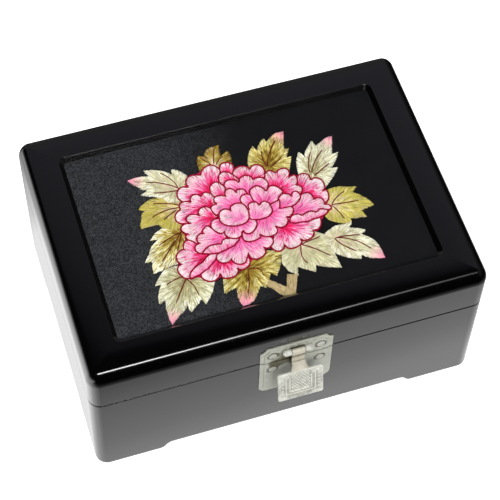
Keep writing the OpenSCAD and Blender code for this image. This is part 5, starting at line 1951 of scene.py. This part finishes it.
@dataclass
class Studio:
    """A white floor and surround, soft lamps, and dark cards and a strip light that only gloss reflects.

    Places and sizes are in metres. Stops are a brightness at millimetres: off the box for the floor's
    falloff, along X for the strip light, and up for the cards at the sides.
    """

    surround: float = 0.35
    floor_size: float = 3.0
    floor_glow: float = 0.72
    floor_lean: float = 0.07
    falloff: Pairs = (
        (-1500.0, 1.7), (-200.0, 2.3), (-60.0, 1.6), (-6.0, 0.9), (5.0, 0.9), (20.0, 0.68), (42.0, 0.54),
        (57.0, 0.28), (85.0, 0.15), (180.0, 0.02), (260.0, 0.0))
    overhead_span: tuple[float, float] = (330.0, 1000.0)
    overhead_top: float = 0.2
    overhead_rise: float = 190.0
    overhead_tint: Colour = (0.96, 0.93, 1.11)
    overhead_way: Colour = (0.35, 1.0, 0.0)
    strip_place: Colour = (0.16, -0.354, 0.9)
    strip_size: tuple[float, float] = (0.62, 0.15)
    strip: Pairs = ((-70.0, 17.0), (115.0, 8.0), (250.0, 2.6), (370.0, 1.2))
    room: Colour = (1.5, 1.85, 0.95)
    room_shift: float = 0.025
    front: Pairs = ((0.0, 0.0), (950.0, 0.0))
    left: Pairs = ((0.0, 1.9), (60.0, 1.8), (150.0, 0.8), (290.0, 0.0), (950.0, 0.0))
    right: Pairs = ((198.0, 0.012), (368.0, 0.045), (544.0, 0.088), (950.0, 0.15))
    back: Pairs = ((0.0, 0.12), (950.0, 0.17))

    def overhead(self) -> list[tuple[float, float]]:
        """The overhead card's stops: dark up to the span, then brighter ever more slowly."""
        start, end = self.overhead_span
        return [(place, self.overhead_top * (1 - math.exp((start - place) / self.overhead_rise)))
                for place in np.linspace(start, end, 10).tolist()]

    @staticmethod
    def _seen_white(s: Shader) -> Signal:
        """1 for rays that look straight at a surface, in a mirror or through glass."""
        path = s.node("ShaderNodeLightPath").outputs
        rays = [Signal(s, path[name]) for name in ("Is Camera Ray", "Is Glossy Ray", "Is Transmission Ray")]
        return (rays[0] + rays[1] + rays[2]).at_most(1.0)

    @staticmethod
    def _graded(s: Shader, way: Signal, stops: Sequence[tuple[float, float]],
                tint: Colour = (1.0, 1.0, 1.0)) -> Socket:
        """An emission whose strength follows a signal between stops in millimetres."""
        low, high = stops[0][0], stops[-1][0]
        top = max(stop[1] for stop in stops) or 1.0
        share = (way - low) * (1 / (high - low))
        shades = [((place - low) / (high - low), tuple(value / top * c for c in tint))
                  for place, value in stops]
        colour = s.ramp(share, shades)
        return s.node("ShaderNodeEmission", {}, {"Color": colour, "Strength": top}).outputs[0]

    def floor(self) -> None:
        """Makes the floor: pale, whiter to the eye, keeping the box's shadow, and dimmer far off in gloss."""
        half = self.floor_size / 2
        obj = piece("floor", [(-half, -half, 0), (half, -half, 0), (half, half, 0), (-half, half, 0)],
                    [(0, 1, 2, 3)])
        s = Shader("floor_paper")
        place = s.place()
        tooth = s.noise(place, 0.8, 3.0)
        paper = s.node("ShaderNodeBsdfPrincipled", {}, {
            "Base Color": s.mix(tooth, (0.80, 0.80, 0.80), (0.84, 0.84, 0.84)), "Roughness": 0.9,
            "Specular IOR Level": 0.0}).outputs[0]
        strength = self._seen_white(s) * self.floor_glow
        glow = s.node("ShaderNodeEmission", {}, {"Strength": strength}).outputs[0]
        plain = s.node("ShaderNodeAddShader", {}, {0: paper, 1: glow}).outputs[0]
        x, half_l = s.axis(place, "X"), PLAN.length / 2
        off_y = (s.axis(place, "Y") - PLAN.set_back).size() - PLAN.depth / 2
        way = (x + half_l).at_most(0.0) + (x - half_l).at_least(off_y - x * self.floor_lean).at_least(0.0)
        in_gloss = self._graded(s, way, self.falloff)
        glossy = s.node("ShaderNodeLightPath").outputs["Is Glossy Ray"]
        seen = s.node("ShaderNodeMixShader", {}, {0: glossy, 1: plain, 2: in_gloss}).outputs[0]
        obj.data.materials.append(s.end(seen))

    def surroundings(self) -> None:
        """Makes the world: white to the eye and in gloss, dimmer as a light."""
        world = bpy.data.worlds.new("surround")
        bpy.context.scene.world = world
        s = Shader("surround", world)
        strength = self._seen_white(s) * (1.0 - self.surround) + self.surround
        white = {"Color": (1.0, 1.0, 1.0), "Strength": strength}
        light = s.node("ShaderNodeBackground", {}, white).outputs[0]
        s.node("ShaderNodeOutputWorld", {}, {"Surface": light})

    def card(self, name: str, centre: Vector, facing: Vector, size: tuple[float, float], upright: Vector,
             stops: Sequence[tuple[float, float]], along: Colour = (1.0, 0.0, 0.0),
             tint: Colour = (1.0, 1.0, 1.0)) -> None:
        """Makes a card that only gloss reflects.

        Args:
            name: the card's name.
            centre: its middle, in metres.
            facing: where it faces.
            size: its width and height in metres.
            upright: the direction that its height follows.
            stops: its brightness at millimetres along a direction.
            along: that direction, as shares of X, Y and Z.
            tint: the light's colour.
        """
        normal = facing.normalized()
        side = upright.cross(normal).normalized()
        rise = normal.cross(side)
        half_w, half_h = size[0] / 2, size[1] / 2
        corners = [centre + side * sx * half_w + rise * sy * half_h
                   for sx, sy in ((-1, -1), (1, -1), (1, 1), (-1, 1))]
        obj = piece(name, corners, [(0, 1, 2, 3)])
        s = Shader(name)
        place = s.place()
        way = sum(s.axis(place, name) * share for name, share in zip("XYZ", along) if share)
        obj.data.materials.append(s.end(self._graded(s, way, stops, tint)))
        obj.visible_camera = obj.visible_diffuse = obj.visible_shadow = False
        obj.visible_transmission = obj.visible_volume_scatter = False

    def ceiling(self) -> None:
        """Makes the overhead card and the strip light below it."""
        wide, deep, high = self.room
        self.card("overhead_card", Vector((0.0, self.room_shift, high)), DOWN, (wide, deep), NORTH,
                  self.overhead(), self.overhead_way, self.overhead_tint)
        self.card("strip_light", Vector(self.strip_place), DOWN, self.strip_size, NORTH, self.strip)

    def flags(self) -> None:
        """Makes the cards at the four sides, each graded by height."""
        wide, deep, high = self.room
        middle = Vector((0.0, self.room_shift, high / 2))
        for name, facing, across, away, stops in (
                ("front_flag", NORTH, wide, deep, self.front), ("back_flag", -NORTH, wide, deep, self.back),
                ("left_flag", EAST, deep, wide, self.left), ("right_flag", -EAST, deep, wide, self.right)):
            self.card(name, middle - facing * away / 2, facing, (across, high), -DOWN, stops, (0.0, 0.0, 1.0))

    def lamp(self, name: str, place: Vector, size: float, power: float, glossy: bool = False) -> None:
        """Makes a soft square lamp that looks at the box."""
        data = bpy.data.lights.new(name, "AREA")
        data.size = size
        data.energy = power
        lamp = bpy.data.objects.new(name, data)
        lamp.location = place
        lamp.rotation_euler = (Vector((0.0, 0.0, 0.08)) - place).to_track_quat("-Z", "Y").to_euler()
        lamp.visible_glossy = glossy
        bpy.context.scene.collection.objects.link(lamp)

    def build(self) -> None:
        """Sets up the whole studio."""
        self.floor()
        self.surroundings()
        self.ceiling()
        self.flags()
        self.lamp("key_lamp", Vector((-0.9, 0.5, 1.6)), 1.2, 35.0)
        self.lamp("fill_lamp", Vector((0.3, -1.3, 0.75)), 1.0, 17.0)


def main() -> None:
    """Builds the camera, the studio and every sub-assembly in turn."""
    logging.basicConfig(level=logging.INFO, format="%(message)s")
    bpy.context.scene.view_settings.view_transform = "Standard"
    Viewpoint().build()
    Studio().build()
    LidShell().build()
    BaseShell().build()
    SilkPanel().build()
    Spray().build()
    Clasp().build()
    Hinges().build()
    Lining().build()
    RingRolls().build()


if __name__ == "__main__":
    main()
